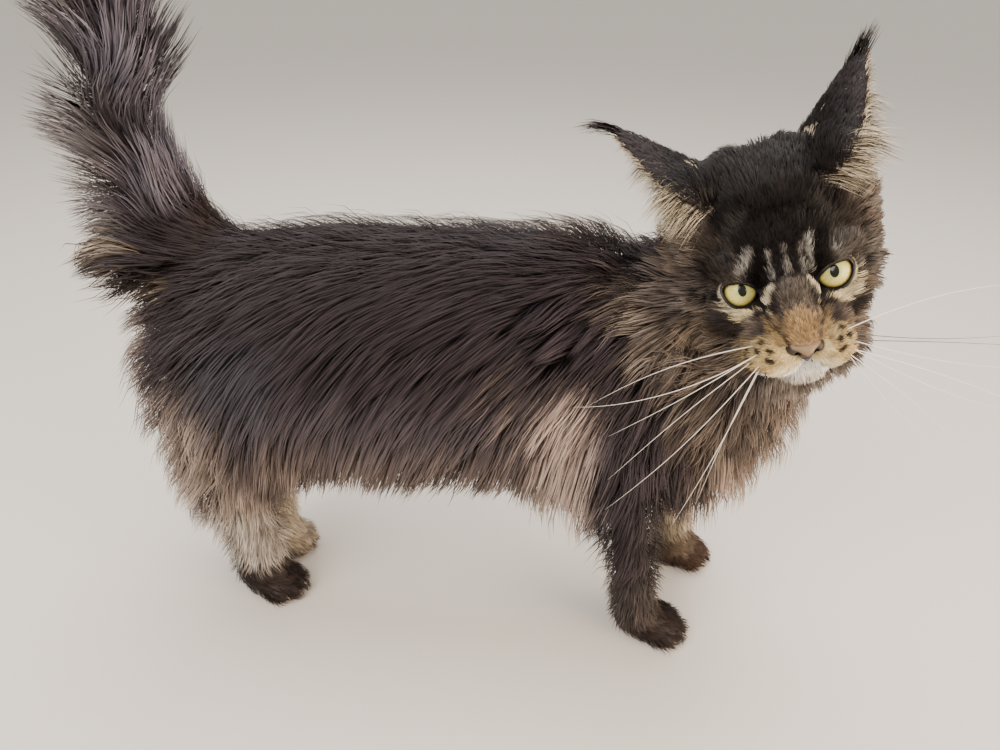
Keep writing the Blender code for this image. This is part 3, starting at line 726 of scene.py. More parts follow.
def spline(points, count):
    """A closed smooth curve through points, as an array of rows."""
    points = np.array(points, float)
    n = len(points)
    rows = []
    for step in range(count):
        place = step * n / count
        i, t = int(place), place % 1.0
        a, b, c, d = (points[(i + k) % n] for k in (-1, 0, 1, 2))
        curve = 2 * b + (c - a) * t + (2 * a - 5 * b + 4 * c - d) * t**2
        rows.append(0.5 * (curve + (3 * b - a - 3 * c + d) * t**3))
    return np.array(rows)


LID_CURVE = spline(LID_MARGIN, len(LID_MARGIN) * OPENING_STEPS)


def on_ball(inward, up, radius):
    """The point of the eyeball's front at a place inwards and up, from the ball's middle."""
    flat = min(np.hypot(inward, up), radius * 0.999)
    scale = flat / max(np.hypot(inward, up), 1e-9)
    return Vector((np.sqrt(radius**2 - flat**2), inward * scale, up * scale))


def opening_cutter(side):
    """A closed cutter from inside the eyeball straight out through the almond of the lids."""
    bm = bmesh.new()
    centre = Vector((EYE_CENTRE[0], side * EYE_CENTRE[1], EYE_CENTRE[2]))
    rings = []
    for inside, ahead in OPENING_RINGS:
        points = []
        for inward, up in LID_CURVE:
            out = on_ball(inward, up, LID_RADIUS) * inside + Vector((ahead, 0, 0))
            points.append(bm.verts.new(HEAD @ (centre + Vector((out.x, -side * out.y, out.z)))))
        rings.append(points)
    for lower, upper in zip(rings, rings[1:]):
        band(bm, lower, upper)
    for points in (rings[0][::-1], rings[-1]):
        hub = bm.verts.new(sum((vert.co for vert in points), Vector()) / len(points))
        for i in range(len(points)):
            bm.faces.new((points[i], points[(i + 1) % len(points)], hub))
    return new_object("lid opening", bm)


def boolean(obj, other, operation):
    """Unites an object with another, or cuts the other out of it, and drops the other."""
    step = obj.modifiers.new("cut", "BOOLEAN")
    step.operation = operation
    step.solver = "MANIFOLD"
    step.object = other
    baked(obj)
    bpy.data.objects.remove(other)
    return obj


def eye_pocket(side):
    bm = bmesh.new()
    x, y, z = EYE_CENTRE
    ellipsoid(bm, (x, side * y, z), (EYE_RADIUS + POCKET,) * 3, HEAD, 48, 32)
    return new_object("eye pocket", bm)


def softened(obj):
    """Relaxes the skin under long fur, where masses meet in creases."""
    places = array_of(obj.data.vertices, "co", 3)
    edges = array_of(obj.data.edges, "vertices", 2, np.int32)
    ends = np.concatenate((edges, edges[:, ::-1]))
    share = shares(places) @ np.isin(CHART_PIECES, SOFT_PIECES).astype(float)
    strength = np.clip((share - SOFT_SHARE) * 4, 0, 1)[:, None] * SOFT_STEP
    many = np.maximum(np.bincount(ends[:, 0], minlength=len(places)), 1)[:, None]
    for _ in range(SOFT_ROUNDS):
        near = places[ends[:, 1]]
        mean = np.stack([np.bincount(ends[:, 0], near[:, i], len(places)) for i in range(3)], 1) / many
        places += (mean - places) * strength
    obj.data.vertices.foreach_set("co", places.ravel())
    obj.data.update()


skin = boolean(body, tail_core, "UNION")
skin = boolean(skin, paws, "UNION")
skin = boolean(skin, head, "UNION")
for side_name in EARS:
    boolean(skin, ear_shell(side_name), "UNION")
for side in (-1, 1):
    boolean(skin, eye_pocket(side), "DIFFERENCE")
    boolean(skin, opening_cutter(side), "DIFFERENCE")
skin.name = "skin"
softened(skin)
print("skin faces:", len(skin.data.polygons))

# %% [markdown]
# ## A surface to plant on
# The skin is cut into triangles and unwrapped over its own shape. Its places, normals
# and the map serve the planting of every tuft.
# %% Unwrap
MAP_NAME = "OFBake"


def triangulated(obj):
    """Cuts faces with more than three corners into triangles."""
    step = obj.modifiers.new("triangles", "TRIANGULATE")
    step.min_vertices = 4
    return baked(obj)


def unwrap(obj):
    """Lays the surface out flat on a map, in islands that keep its own shape."""
    for other in bpy.context.selected_objects:
        other.select_set(False)
    obj.select_set(True)
    bpy.context.view_layer.objects.active = obj
    obj.data.uv_layers.new(name=MAP_NAME)
    bpy.ops.object.mode_set(mode="EDIT")
    bpy.ops.mesh.select_all(action="SELECT")
    bpy.ops.uv.smart_project(angle_limit=1.15, island_margin=0.003, scale_to_bounds=True)
    bpy.ops.object.mode_set(mode="OBJECT")


triangulated(skin)
# The cuts leave corner normals of their own behind, which would show as creases.
for extra in list(skin.data.attributes):
    if extra.domain == "CORNER" and extra.data_type == "FLOAT_VECTOR":
        skin.data.attributes.remove(extra)
skin.data.shade_smooth()
unwrap(skin)
SKIN_PLACES = array_of(skin.data.vertices, "co", 3)
SKIN_NORMALS = array_of(skin.data.vertices, "normal", 3)
SKIN_FACES = array_of(skin.data.polygons, "vertices", 3, np.int32)
SKIN_MAP = array_of(skin.data.uv_layers[MAP_NAME].uv, "vector", 2).reshape(-1, 3, 2)
SKIN_TREE = BVHTree.FromPolygons(SKIN_PLACES.tolist(), SKIN_FACES.tolist())
print("skin triangles:", len(SKIN_FACES))

# %% [markdown]
# ## Markings
# The coat is a black-brown tabby with silver ticking: black back, greyer flanks, beige
# fringes, pale hocks, a striped forehead, pale rings round the eyes, a cream muzzle and a
# white chin. Each mark is a soft stroke between two places, with the colour of the hair
# near the skin and the colour of its tips.
# %% Markings
# Start and end (x, distance from the midline, z), side (0 both, -1 right, 1 left), width,
# softness, hair colour, tip colour, strength. Places, widths and softness in millimetres.
BASE_COAT = ("#1a1415", "#393035")
BODY_MARKS = (
    ((40, 45, 180), (-170, 45, 180), 0, 12, 30, "#251f22", "#6d646a", 0.7),
    ((30, 55, 150), (-150, 55, 145), 0, 12, 24, "#332a28", "#8c7c72", 0.85),
    ((40, 35, 112), (-120, 35, 112), 0, 14, 20, "#5a4b40", "#b8a48e", 0.95),
    ((40, 0, 110), (-120, 0, 110), 0, 14, 20, "#4a3d34", "#b8a690", 0.9),
    ((30, 55, 195), (45, 55, 105), 0, 13, 13, "#6c5a52", "#d4bfb3", 0.93),
    ((-8, 60, 225), (-2, 55, 150), 0, 4, 8, "#3a302b", "#9c8a7b", 0.75),
    ((-205, 45, 170), (-200, 45, 90), 0, 14, 22, "#54473f", "#b9a698", 0.88),
    ((-235, 0, 200), (-210, 20, 100), 0, 12, 26, "#433832", "#a39186", 0.85),
    ((-163.5, 55, 212.4), (-170, 60, 200), 0, 10, 26, "#252429", "#504f57", 0.7),
    ((90, 0, 310), (20, 0, 300), 0, 7, 12, "#1c1410", "#59402f", 0.7),
    ((-195, 40, 78), (-182, 40, 48), 0, 14, 10, "#8d8278", "#c0b6ab", 0.95),
    ((-200, 25, 80), (-190, 30, 20), 1, 22, 12, "#9c8d79", "#cfc0a8", 0.95),
    ((-185, 30, 12), (-165, 30, 8), -1, 20, 12, "#1c1513", "#3d302b", 0.9),
    ((-222, 30, 60), (-212, 30, 20), -1, 9, 7, "#1c1513", "#3a2e2a", 0.85),
    ((85, 35, 110), (100, 35, 20), -1, 17, 8, "#1c1513", "#3d3230", 0.92),
    ((94, 35, 52), (97, 35, 36), -1, 20, 10, "#2f2826", "#6c615a", 0.55),
    ((92, 12, 100), (100, 18, 30), -1, 6, 6, "#9b8c79", "#c9bba4", 0.8),
    ((125, 40, 100), (132, 42, 30), 1, 20, 8, "#8f806d", "#cdbfa6", 0.9),
    ((110, 36, 12), (125, 36, 8), -1, 20, 9, "#1d1614", "#40322b", 0.9),
    ((140, 42, 12), (155, 42, 8), 1, 20, 9, "#32251c", "#5d4836", 0.85),
    ((150, 0, 250), (140, 0, 170), 0, 34, 26, "#3a2e27", "#b39c88", 0.88),
    ((55, 40, 280), (95, 55, 235), 0, 14, 14, "#332a25", "#8c7d6e", 0.9),
    ((110, 60, 250), (120, 50, 200), 0, 14, 20, "#2a211d", "#786a5d", 0.8),
    ((-215, 0, 330), (-205, 0, 510), 0, 12, 18, "#36323b", "#8a8592", 0.9),
    ((-265, 0, 300), (-265, 0, 530), 0, 14, 20, "#383336", "#8f898a", 0.9),
    ((-225, 0, 255), (-260, 0, 280), 0, 8, 14, "#57493d", "#c9b79b", 0.8),
    ((-195, 0, 300), (-210, 0, 330), 0, 6, 12, "#1d1511", "#5a412f", 0.7),
)
# The same for the head, in its own frame, without the side: these are on both.
HEAD_MARKS = (
    ((-60, 0, 40), (-20, 0, 42), 44, 16, "#0b0707", "#120c0c", 0.97),
    ((-25, 44, 5), (-30, 50, -25), 20, 14, "#2a211d", "#796a5e", 0.85),
    ((-5, 38, 4), (-15, 44, -14), 12, 10, "#201a18", "#665d56", 0.9),
    ((-22, 46, 36), (-30, 50, 22), 5, 8, "#3a312b", "#95877a", 0.8),
    ((0, 30, -24), (-12, 40, -34), 14, 12, "#342a24", "#96836f", 0.85),
    ((-4, 32, 12), (-8, 38, 8), 5, 6, "#201b19", "#69625c", 0.8),
    ((-2, 30, -3), (-16, 46, -4), 2.2, 2.2, "#100c0b", "#191413", 0.95),
    ((8, 15, -17.0), (7, 25, -20.5), 2.6, 2.4, "#16100e", "#2b221d", 0.9),
    ((7, 25, -20.5), (4, 36, -15), 4.0, 3.0, "#16100e", "#2b221d", 0.92),
    ((4, 36, -15), (-6, 48, -8), 4.2, 4.0, "#16100e", "#2b221d", 0.88),
    ((4, 30, -28), (-10, 44, -32), 2.0, 2.6, "#15100e", "#221b18", 0.8),
    ((2, 0, 13), (-8, 0, 32), 17, 8, "#100c0b", "#1a1514", 0.97),
    ((13, 0, 0), (20, 0, -4), 5.0, 6, "#2c2522", "#85796b", 0.9),
    ((0, 7.8, 19), (5.5, 8.4, 6), 0.8, 1.2, "#4c4845", "#c6c1b9", 0.95),
    ((1, 0.2, 20), (6, -0.4, 8), 0.7, 1.3, "#3a3633", "#a09a93", 0.85),
    ((-5, 4.2, 30), (5, 4.0, 8), 0.8, 0.8, "#0f0b0b", "#161110", 0.95),
    ((-8, 31, 24), (-6, 27, 12), 4.0, 6.0, "#1c1715", "#4f4843", 0.6),
    ((-8, 26, 26), (-10, 20, 38), 2.0, 4.0, "#2a2726", "#5f5b58", 0.5),
    ((27, 0, -8), (34, 0, -14), 5.0, 6, "#735a3e", "#c6a473", 0.9),
    ((24, 9, -13), (14, 12, -12), 3, 3, "#7a674c", "#b89f78", 0.6),
    ((7, 10.5, 3), (9.5, 10.8, -8), 2.2, 1.4, "#b8ab8f", "#e2d6b6", 0.97),
    ((-1, 35, 3), (2.5, 33.5, -6), 2.4, 1.6, "#a59a83", "#dcd1b3", 0.95),
    ((2.5, 33.5, -6), (5.5, 26, -10.5), 2.2, 1.5, "#b3a789", "#e2d5b4", 0.95),
    ((5.5, 26, -10.5), (5, 15, -14), 2.6, 1.6, "#cbb88e", "#ead7a8", 0.97),
    ((12.5, 10.8, -4), (9, 15.5, -16), 1.1, 1.0, "#150f0d", "#211713", 0.95),
    ((14, 23, -31), (19, 20, -29), 5.0, 4, "#8f774f", "#d9bd88", 0.9),
    ((18, 14, -28), (24, 12, -28), 9.0, 4, "#c4a770", "#f4d69c", 0.97),
    ((18, 12.5, -13), (27, 11, -18), 1.5, 3, "#7b6342", "#b99866", 0.8),
    ((13, 13, -11), (20, 11.8, -13), 0.9, 2.2, "#1c1512", "#3a2d24", 0.9),
    ((8, 25, -30), (15, 21, -26), 4, 5, "#5a4c3d", "#a08c6e", 0.8),
    ((31, 0, -25), (28, 9, -25), 3, 3, "#dcc08c", "#f5dca8", 0.9),
    ((31, 0, -31), (30, 12, -30), 2.8, 2.6, "#ead5a8", "#fdedc6", 0.95),
    ((25, 0, -38), (19, 13, -37), 7, 3, "#fffaf0", "#fffdf6", 1.0),
    ((22, 0, -44), (14, 8, -44), 5, 5, "#c4baab", "#e6ddcd", 0.85),
    ((6, 0, -56), (-10, 12, -60), 12, 14, "#3f3731", "#a09285", 0.85),
    ((23, 11, -12), (24, 11, -13), 1.1, 0.7, "#120c0a", "#1a110d", 0.95),
    ((27, 8.5, -14), (31, 9.0, -17), 0.8, 0.8, "#2a1d16", "#3a291f", 0.7),
)
# What differs between the sides: here the right side has a negative y. The grey of the left brow and temple
# and the near-black of the right brow are partly painted light and shade, as the left of the face is lit
# more.
HEAD_SIDE_MARKS = (
    ((-2, 12.0, 22), (1.5, 13.4, 6), 1.1, 1.2, "#5c5854", "#dcd8d0", 1.0),
    ((-3, 18.5, 24), (0, 18.8, 6), 2.8, 1.8, "#0d0a09", "#151110", 0.97),
    ((-1, 23.6, 15), (-2, 27.0, 8), 0.9, 2.2, "#4d4845", "#c3beb5", 0.95),
    # Left brow and temple, grey: partly painted light, for the more brightly lit side of the face.
    ((-4, 33.0, 11), (-8, 42.0, 2), 4.0, 8.0, "#332e2a", "#7f776f", 0.8),
    ((-1, 37.0, 4), (4, 33.5, -9), 2.2, 2.0, "#b3a480", "#e8d8b0", 0.95),
    ((-3, -13.0, 25), (1, -13.5, 6), 2.4, 1.8, "#0d0a09", "#151110", 0.97),
    ((-2, -17.2, 20), (-0.5, -22.5, 11), 1.3, 2.4, "#4a4643", "#bdb8b0", 0.95),
    # Right brow, near black: partly painted shade, for the less lit side of the face.
    ((-6, -30.0, 18), (-10, -37.0, 11), 4.0, 5.0, "#151010", "#2c2523", 0.85),
    ((-13, -56.0, -5), (2, -46.0, -12.5), 0.8, 2.2, "#6d6258", "#b9ab9a", 0.85),
    ((0, -60.0, -24), (-9, -55.0, -36), 6.0, 10.0, "#574739", "#b39c83", 0.8),
)
# Spots where whiskers are rooted: places on the pads in the head frame, in millimetres.
WHISKER_SPOTS = (
    (24.0, 18.4, -18.6), (30.0, 15.8, -20.8), (18.5, 23.8, -24.4),
    (25.0, 19.0, -23.6), (30.0, 15.0, -25.6), (17.0, 25.6, -29.6),
    (22.0, 20.8, -28.4), (26.5, 17.6, -30.6), (16.5, 25.6, -34.4), (22.5, 19.8, -34.2),
)
SPOT_MARK = (1.1, 0.6, "#120c0a", "#1a120f", 0.97)  # width, softness, colours, strength
SPOT_TRAIL = (-1.6, 1.2, 0.3)  # from its root a spot runs backwards and outwards
SNAP = 7.0 * MM  # a mark's end is moved on to the skin from as far away
INNER_EAR = ("#a59580", "#e2d4b8")  # hair and tips


def on_skin(place):
    """The place moved on to the skin, if it is near."""
    found, _, _, far = SKIN_TREE.find_nearest(place)
    return found if far < SNAP else place


def stroke(ends, wide, soft, hair, tip, strength):
    """A row: start, end, width and softness in metres, two colours, strength."""
    return (*ends, wide * MM, soft * MM, linear(hair), linear(tip), strength)


def head_stroke(places, side, look):
    """A row for a stroke of the head, laid on the skin."""
    return stroke([on_skin(in_head(place, side)) for place in places], *look)


def strokes():
    """All marks as rows."""
    rows = []
    for start, end, side, *look in BODY_MARKS:
        for way in (side,) if side else both_sides(start, end):
            rows.append(stroke([Vector(in_body(place, way)) for place in (start, end)], *look))
    for start, end, *look in HEAD_MARKS:
        for way in both_sides(start, end):
            rows.append(head_stroke((start, end), way, look))
    for start, end, *look in HEAD_SIDE_MARKS:
        rows.append(head_stroke((start, end), 1, look))
    for side in (-1, 1):
        for spot in WHISKER_SPOTS:
            trail = [place + step for place, step in zip(spot, SPOT_TRAIL)]
            rows.append(head_stroke((spot, trail), side, SPOT_MARK))
    return rows


STROKES = strokes()


def markings(places):
    """Hair and tip colour of the coat at places on the skin."""
    hair = np.tile(linear(BASE_COAT[0]), (len(places), 1))
    tips = np.tile(linear(BASE_COAT[1]), (len(places), 1))
    for start, end, wide, soft, hair_colour, tip_colour, strength in STROKES:
        start, run = np.array(start), np.array(end) - np.array(start)
        reach = ((places - start) @ run) / max(run @ run, 1e-12)
        apart = np.linalg.norm(places - start - np.clip(reach, 0, 1)[:, None] * run, axis=1)
        cover = np.clip(1.0 - (apart - wide) / soft, 0.0, 1.0)
        cover = (cover * cover * (3.0 - 2.0 * cover) * strength)[:, None]
        hair += (hair_colour - hair) * cover
        tips += (tip_colour - tips) * cover
    return hair, tips


print("strokes:", len(STROKES))

# %% [markdown]
# ## Materials of skin and coat
# Both take their colour from the marks, stored at the points of each mesh. Hair is a
# little glossy; skin is duller, with a fine grain of short hair.
# %% Coat materials
COLOUR_NAME = "coat_colour"


def coat_material(name, roughness, sheen, grain):
    made, tree, shader = new_material(
        name, Roughness=roughness, Specular_IOR_Level=0.18,
        Sheen_Weight=sheen, Sheen_Roughness=0.4, Sheen_Tint=rgba("#b9b3ad"),
    )
    colour = add_node(tree, "ShaderNodeAttribute", {"attribute_name": COLOUR_NAME})
    feed(shader, Base_Color=colour.outputs["Color"])
    if grain:
        place = add_node(tree, "ShaderNodeTexCoord").outputs["Object"]
        noise = add_node(tree, "ShaderNodeTexNoise", Vector=place, Scale=1400.0, Detail=2.0)
        bump = add_node(tree, "ShaderNodeBump", Height=noise.outputs["Fac"], Strength=0.35, Distance=grain)
        feed(shader, Normal=bump.outputs["Normal"])
    return made


# Guard hair: smooth keratin with a faint cool sheen.
hair_material = coat_material("guard hair", 0.48, 0.03, 0.0)
# Skin with its short undercoat.
skin_material = coat_material("skin and undercoat", 0.7, 0.05, 0.4 * MM)


def paint(mesh, colours):
    """Stores linear colours at the points of a mesh."""
    layer = mesh.color_attributes.new(COLOUR_NAME, "FLOAT_COLOR", "POINT")
    full = np.ones((len(colours), 4), np.float32)
    full[:, :3] = colours
    layer.data.foreach_set("color", full.ravel())


print("coat materials:", hair_material.name, "and", skin_material.name)

# %% [markdown]
# ## Tufts
# A tuft is a thin tapering lock with three sides, flat along the body, closed at its
# root and pointed at its tip. Arrays hold all tufts of a piece, and become one mesh.
# %% Tuft meshes
PATCH = 0.0015  # half the width of a tuft's patch on the map
PROFILE = (0.62, 1.0, 0.86, 0.55)  # width of a tuft at its rings, against its full width
THICKNESS = 0.4  # of its width
LEAN = 0.3  # how far a tuft's shading turns to its sides


def tuft_arrays(paths, ups, widths, colours, spots):
    """Points, triangles, colours, map places and normals of tufts along paths (tuft, ring, xyz)."""
    count, rings = paths.shape[0], paths.shape[1] - 1
    ways = unit(np.gradient(paths, axis=1))
    sides = unit(np.cross(ups, ways))
    lifts = np.cross(ways, sides)
    half = widths[:, None, None] * np.array(PROFILE[:rings])[None, :, None] / 2
    corners = np.empty((count, rings, 3, 3))
    corners[:, :, 0] = paths[:, :rings] + sides[:, :rings] * half
    corners[:, :, 1] = paths[:, :rings] + lifts[:, :rings] * half * 2 * THICKNESS
    corners[:, :, 2] = paths[:, :rings] - sides[:, :rings] * half
    places = np.concatenate((corners.reshape(count, -1, 3), paths[:, rings:]), axis=1)
    faces = [(0, 2, 1)]
    for k in range(rings - 1):
        for i in range(3):
            a, b = 3 * k + i, 3 * k + (i + 1) % 3
            faces += [(a, b, b + 3), (a, b + 3, a + 3)]
    last = 3 * (rings - 1)
    faces += [(last + i, last + (i + 1) % 3, last + 3) for i in range(3)]
    per = 3 * rings + 1
    faces = np.array(faces)[None] + (np.arange(count) * per)[:, None, None]
    shades = np.concatenate((np.repeat(colours[:, :rings], 3, axis=1), colours[:, rings:]), axis=1)
    leans = np.array((1.0, 0.0, -1.0))[None, None, :, None] * LEAN
    facing = unit(lifts[:, :rings, None] + sides[:, :rings, None] * leans)
    facing = np.concatenate((facing.reshape(count, -1, 3), lifts[:, rings:]), axis=1)
    patch = [(side, -1.0 + 2.0 * k / rings) for k in range(rings) for side in (-1.0, 0.0, 1.0)]
    marks = spots[:, None, :] + np.array(patch + [(0.0, 1.0)])[None] * PATCH
    return tuple(rows.reshape(-1, rows.shape[-1]) for rows in (places, faces, shades, marks, facing))


def joined(parts):
    """Puts several groups of arrays together."""
    shift, faces = 0, []
    for part in parts:
        faces.append(part[1] + shift)
        shift += len(part[0])
    pick = [np.concatenate([part[i] for part in parts]) for i in (0, 2, 3, 4)]
    return pick[0], np.concatenate(faces), *pick[1:]


def tuft_object(name, parts):
    """One mesh from the arrays of all tufts of a piece."""
    places, faces, shades, marks, facing = joined(parts)
    mesh = bpy.data.meshes.new(name)
    mesh.vertices.add(len(places))
    mesh.loops.add(faces.size)
    mesh.polygons.add(len(faces))
    mesh.vertices.foreach_set("co", places.ravel())
    mesh.loops.foreach_set("vertex_index", faces.ravel())
    mesh.polygons.foreach_set("loop_start", np.arange(0, faces.size, 3))
    mesh.polygons.foreach_set("use_smooth", np.ones(len(faces), bool))
    mesh.update(calc_edges=True)
    mesh.uv_layers.new(name=MAP_NAME)
    mesh.uv_layers[MAP_NAME].uv.foreach_set("vector", np.clip(marks, 0.0, 1.0)[faces.ravel()].ravel())
    mesh.normals_split_custom_set_from_vertices(facing)
    paint(mesh, shades)
    return linked(name, mesh)


print("triangles of a tuft with two rings and with three:", [6 * rings - 2 for rings in (2, 3)])

# %% [markdown]
# ## Where tufts are rooted
# Roots are strewn over the skin, densest where hair is short and fine, so that every
# part is covered by the same number of layers. None grow on the soles, the nose leather,
# the lip line or the rims of the lids; the hollow of an ear is planted more thinly.
# %% Roots
CHUNK = 20000  # places that are worked on at a time
SEEN = 0.55  # the part of a hair that shows most, from its root
BLUR = 0.09  # how far marks fray, against the length of the hair
TUFTS = 104000
LID_RIM = 0.35  # mm
TEAR_CORNER, TEAR_SIZE = (10.8, -3.0), (2.8, 2.4)  # inwards and up from the middle of the eyeball, mm
NOSE_LEATHER = np.array(((31.5, 0.0, -20.3), (6.0, 8.2, 4.2)))  # place and radii in the head frame
MOUTH = (((30.5, 0, -29.0), (27, 5, -32.8)), ((27, 5, -32.8), (17, 15, -34.0)))  # the lip line
MOUTH_WIDTH = 1.25
PAD_HEIGHT = 3.0 * MM  # soles lie below this
FAR = 99.0  # stands for any place that isn't near
LIDS_REACH, LIDS_FRONT = 17.0, -2.0  # how far from the eyeball's middle lids count, mm
HOLLOW_DENSITY = 0.8
# An ear's hollow: from this share of its length on it reaches so many mm from its middle.
HOLLOW_UPPER, HOLLOW_LOWER = (0.25, 34.0), (0.1, 22.0)
HOLLOW_CROWN = 18.0  # and only so far towards the crown in its lower half
HOLLOW_FACING = 0.3  # how squarely its skin faces forwards
SHELF_FACING, SHELF_AHEAD, SHELF_TOP = 0.35, 5.0, 0.6  # the shelf before it faces along the ear
# How much denser than the rule a piece is planted.
EXTRA = {
    "back": 2.6, "flank": 2.0, "haunch": 1.8, "chest": 2.3, "ruff": 2.5, "tail": 3.0, "cheeks": 2.2,
    "crown": 2.2, "face": 1.3, "muzzle": 1.3, "legs": 0.62, "paws": 0.42, "ears": 0.5,
}


def round_lids(rows):
    """Distance and angle of places, inwards and up, from the middle of the opening."""
    out = rows - np.array(LID_MIDDLE)
    return np.linalg.norm(out, axis=1), np.arctan2(out[:, 1], out[:, 0])


def lid_distance(heads):
    """Distance from the lid margin in mm, negative inside the opening, in the head frame."""
    result = np.full(len(heads), FAR)
    rim, turn = round_lids(LID_CURVE)
    order = np.argsort(turn)
    for side in (-1, 1):
        local = heads - np.array((EYE_CENTRE[0], side * EYE_CENTRE[1], EYE_CENTRE[2]))
        flat = np.stack((-side * local[:, 1], local[:, 2]), 1)
        near = np.linalg.norm(flat[:, None] - LID_CURVE[None], axis=2).min(1)
        out, angle = round_lids(flat)
        near = np.where(out < np.interp(angle, turn[order], rim[order], period=2 * pi), -near, near)
        here = (np.linalg.norm(local, axis=1) < LIDS_REACH) & (local[:, 0] > LIDS_FRONT)
        result = np.where(here, np.minimum(result, near), result)
    return result


def tear_distance(heads):
    """Distance from the inner corner of the nearer eye, seen from the front, in mm."""
    x, y, z = EYE_CENTRE
    off = np.stack((np.abs(heads[:, 1]) - (y - TEAR_CORNER[0]), heads[:, 2] - (z + TEAR_CORNER[1])), 1)
    return np.where(heads[:, 0] > x + 2.0, np.linalg.norm(off / TEAR_SIZE, axis=1), FAR)


def segment_distance(places, start, end):
    """Distance of places from a straight line between two ends."""
    start, run = np.array(start, float), np.array(end, float) - np.array(start, float)
    reach = np.clip((places - start) @ run / (run @ run), 0, 1)
    return np.linalg.norm(places - start - reach[:, None] * run, axis=1)


def on_leather(heads):
    """True where the nose leather covers the skin."""
    return (((heads - NOSE_LEATHER[0]) / NOSE_LEATHER[1]) ** 2).sum(1) < 1.0


def mouth_distance(heads):
    """Distance from the lip line in mm."""
    return np.min([segment_distance(folded(heads), a, b) for a, b in MOUTH], axis=0)


def ear_hollow(places, normals):
    """True inside the ears' hollows and on the shelf in front of them."""
    found = np.zeros(len(places), bool)
    heads = to_head(places)
    turned = unit(normals @ np.array(HEAD_INVERSE.to_3x3()).T)
    for name in EARS:
        root, tip, along, front, across = (np.array(value) for value in ear_axes(name))
        t = (heads - root) @ along / np.linalg.norm(tip - root)
        off = heads - root - np.outer((heads - root) @ along, along)
        aside = np.linalg.norm(off, axis=1)
        near = np.zeros(len(places), bool)
        for foot, reach in (HOLLOW_UPPER, HOLLOW_LOWER):
            near |= (t > foot) & (t < 1.1) & (aside < reach)
        near &= (off @ across * -OUTER_EDGE[name] < HOLLOW_CROWN) | (t > 0.5)
        shelf = (turned @ along > SHELF_FACING) & (off @ front > SHELF_AHEAD) & (t < SHELF_TOP)
        found |= near & ((turned @ front > HOLLOW_FACING) | shelf)
    return found


def wanted(centres, normals):
    """Tufts per square metre, before scaling to the total."""
    weights = np.empty(len(centres))
    extra = np.array([EXTRA[name] for name in CHART_PIECES])
    for first in range(0, len(centres), CHUNK):
        part = slice(first, first + CHUNK)
        share = shares(centres[part])
        lengths = share @ CHART_LENGTHS
        weights[part] = share @ extra / (lengths * tuft_width(lengths))
    heads = to_head(centres)
    bare = (centres[:, 2] < PAD_HEIGHT) & (normals[:, 2] < -0.4)
    bare |= on_leather(heads) | (mouth_distance(heads) < MOUTH_WIDTH)
    bare |= (lid_distance(heads) < LID_RIM) | (tear_distance(heads) < 0.8)
    weights[bare] = 0.0
    weights[ear_hollow(centres, normals)] *= HOLLOW_DENSITY
    return weights


def tuft_width(lengths):
    """The longer a tuft, the wider it is."""
    return 0.28 * MM + 0.0085 * lengths


def strewn(total):
    """Random roots on the skin: place, normal and place on the map."""
    corners = SKIN_PLACES[SKIN_FACES]
    crossed = np.cross(corners[:, 1] - corners[:, 0], corners[:, 2] - corners[:, 0])
    areas = np.linalg.norm(crossed, axis=1) / 2
    load = wanted(corners.mean(1), unit(crossed)) * areas
    faces = np.sort(rng.choice(len(load), total, p=load / load.sum()))
    u, v = rng.random((2, total))
    over = u + v > 1
    u, v = np.where(over, 1 - u, u), np.where(over, 1 - v, v)
    mix = np.stack((1 - u - v, u, v), 1)[:, :, None]
    places = (corners[faces] * mix).sum(1)
    normals = unit((SKIN_NORMALS[SKIN_FACES[faces]] * mix).sum(1))
    return places, normals, (SKIN_MAP[faces] * mix).sum(1)


ROOTS, ROOT_NORMALS, ROOT_SPOTS = strewn(TUFTS)
print("roots:", len(ROOTS))

# %% [markdown]
# ## Combing
# Each hair leaves the skin, bends over into the lie of the coat and follows the body.
# Neighbours gather into locks around a leader, which gives the coat its broken, feathered
# outline. Long hair gathers more than short hair.
# %% Comb
FACE_NORMALS = unit(SKIN_NORMALS[SKIN_FACES].mean(1))
LOCK = 22  # tufts in a lock
LEAST_HEIGHT = 0.3 * MM  # no hair lies closer to the skin
LEAST_COSINE = 0.62  # a hair turns no more sharply from ring to ring
LEAST_SLANT = 0.22  # how steeply free hair leaves the skin at least
RISE = 0.42  # share of its length over which a hair rises to its height
SLOWEST = 0.35  # a hair goes on by at least this share of each step
CALM_STEPS = (0.6, 1.25)  # lengths of steps after straightening, against the even step
SWAY, SWAY_UP = 0.10, 0.4  # how far locks sway sideways, and how much of it upwards


def nearest_skin(places):
    """The nearest place on the skin, and the normal there."""
    found = np.empty_like(places)
    faces = np.empty(len(places), np.int64)
    for i, place in enumerate(places.tolist()):
        found[i], _, faces[i], _ = SKIN_TREE.find_nearest(place)
    return found, FACE_NORMALS[faces]


def chart_at(places):
    """At places: the lie, then length, depth, cling and droop as columns, and the piece."""
    names = sorted(set(CHART_PIECES))
    member = np.array([[name == piece for name in names] for piece in CHART_PIECES], float)
    numbers = np.stack(CHART_NUMBERS, 1)
    rows = []
    for first in range(0, len(places), CHUNK):
        share = shares(places[first : first + CHUNK])
        rows.append((share @ CHART_LIES, share @ numbers, (share @ member).argmax(1)))
    lies, values, pieces = (np.concatenate([row[i] for row in rows]) for i in range(3))
    return unit(lies), values, np.array(names)[pieces]


def flattened(ways, normals):
    """Ways turned so that they lie along the skin."""
    return unit(ways - (ways * normals).sum(1, keepdims=True) * normals)


def headed(ways, ups, clings):
    """Way of a hair: along the skin where it clings, and freely off the skin where it doesn't."""
    least = np.maximum(LEAST_SLANT - (ways * ups).sum(1, keepdims=True), 0.0)
    free = unit(ways + ups * least)
    return unit(free + (flattened(ways, ups) - free) * clings)


def stand(s, tuck):
    """Height of a hair over the skin along its length; a tucked tip lies down again."""
    return np.sin(np.minimum(s / RISE, 1.0) * pi / 2) - tuck * max(s - RISE, 0.0) / (1.0 - RISE)


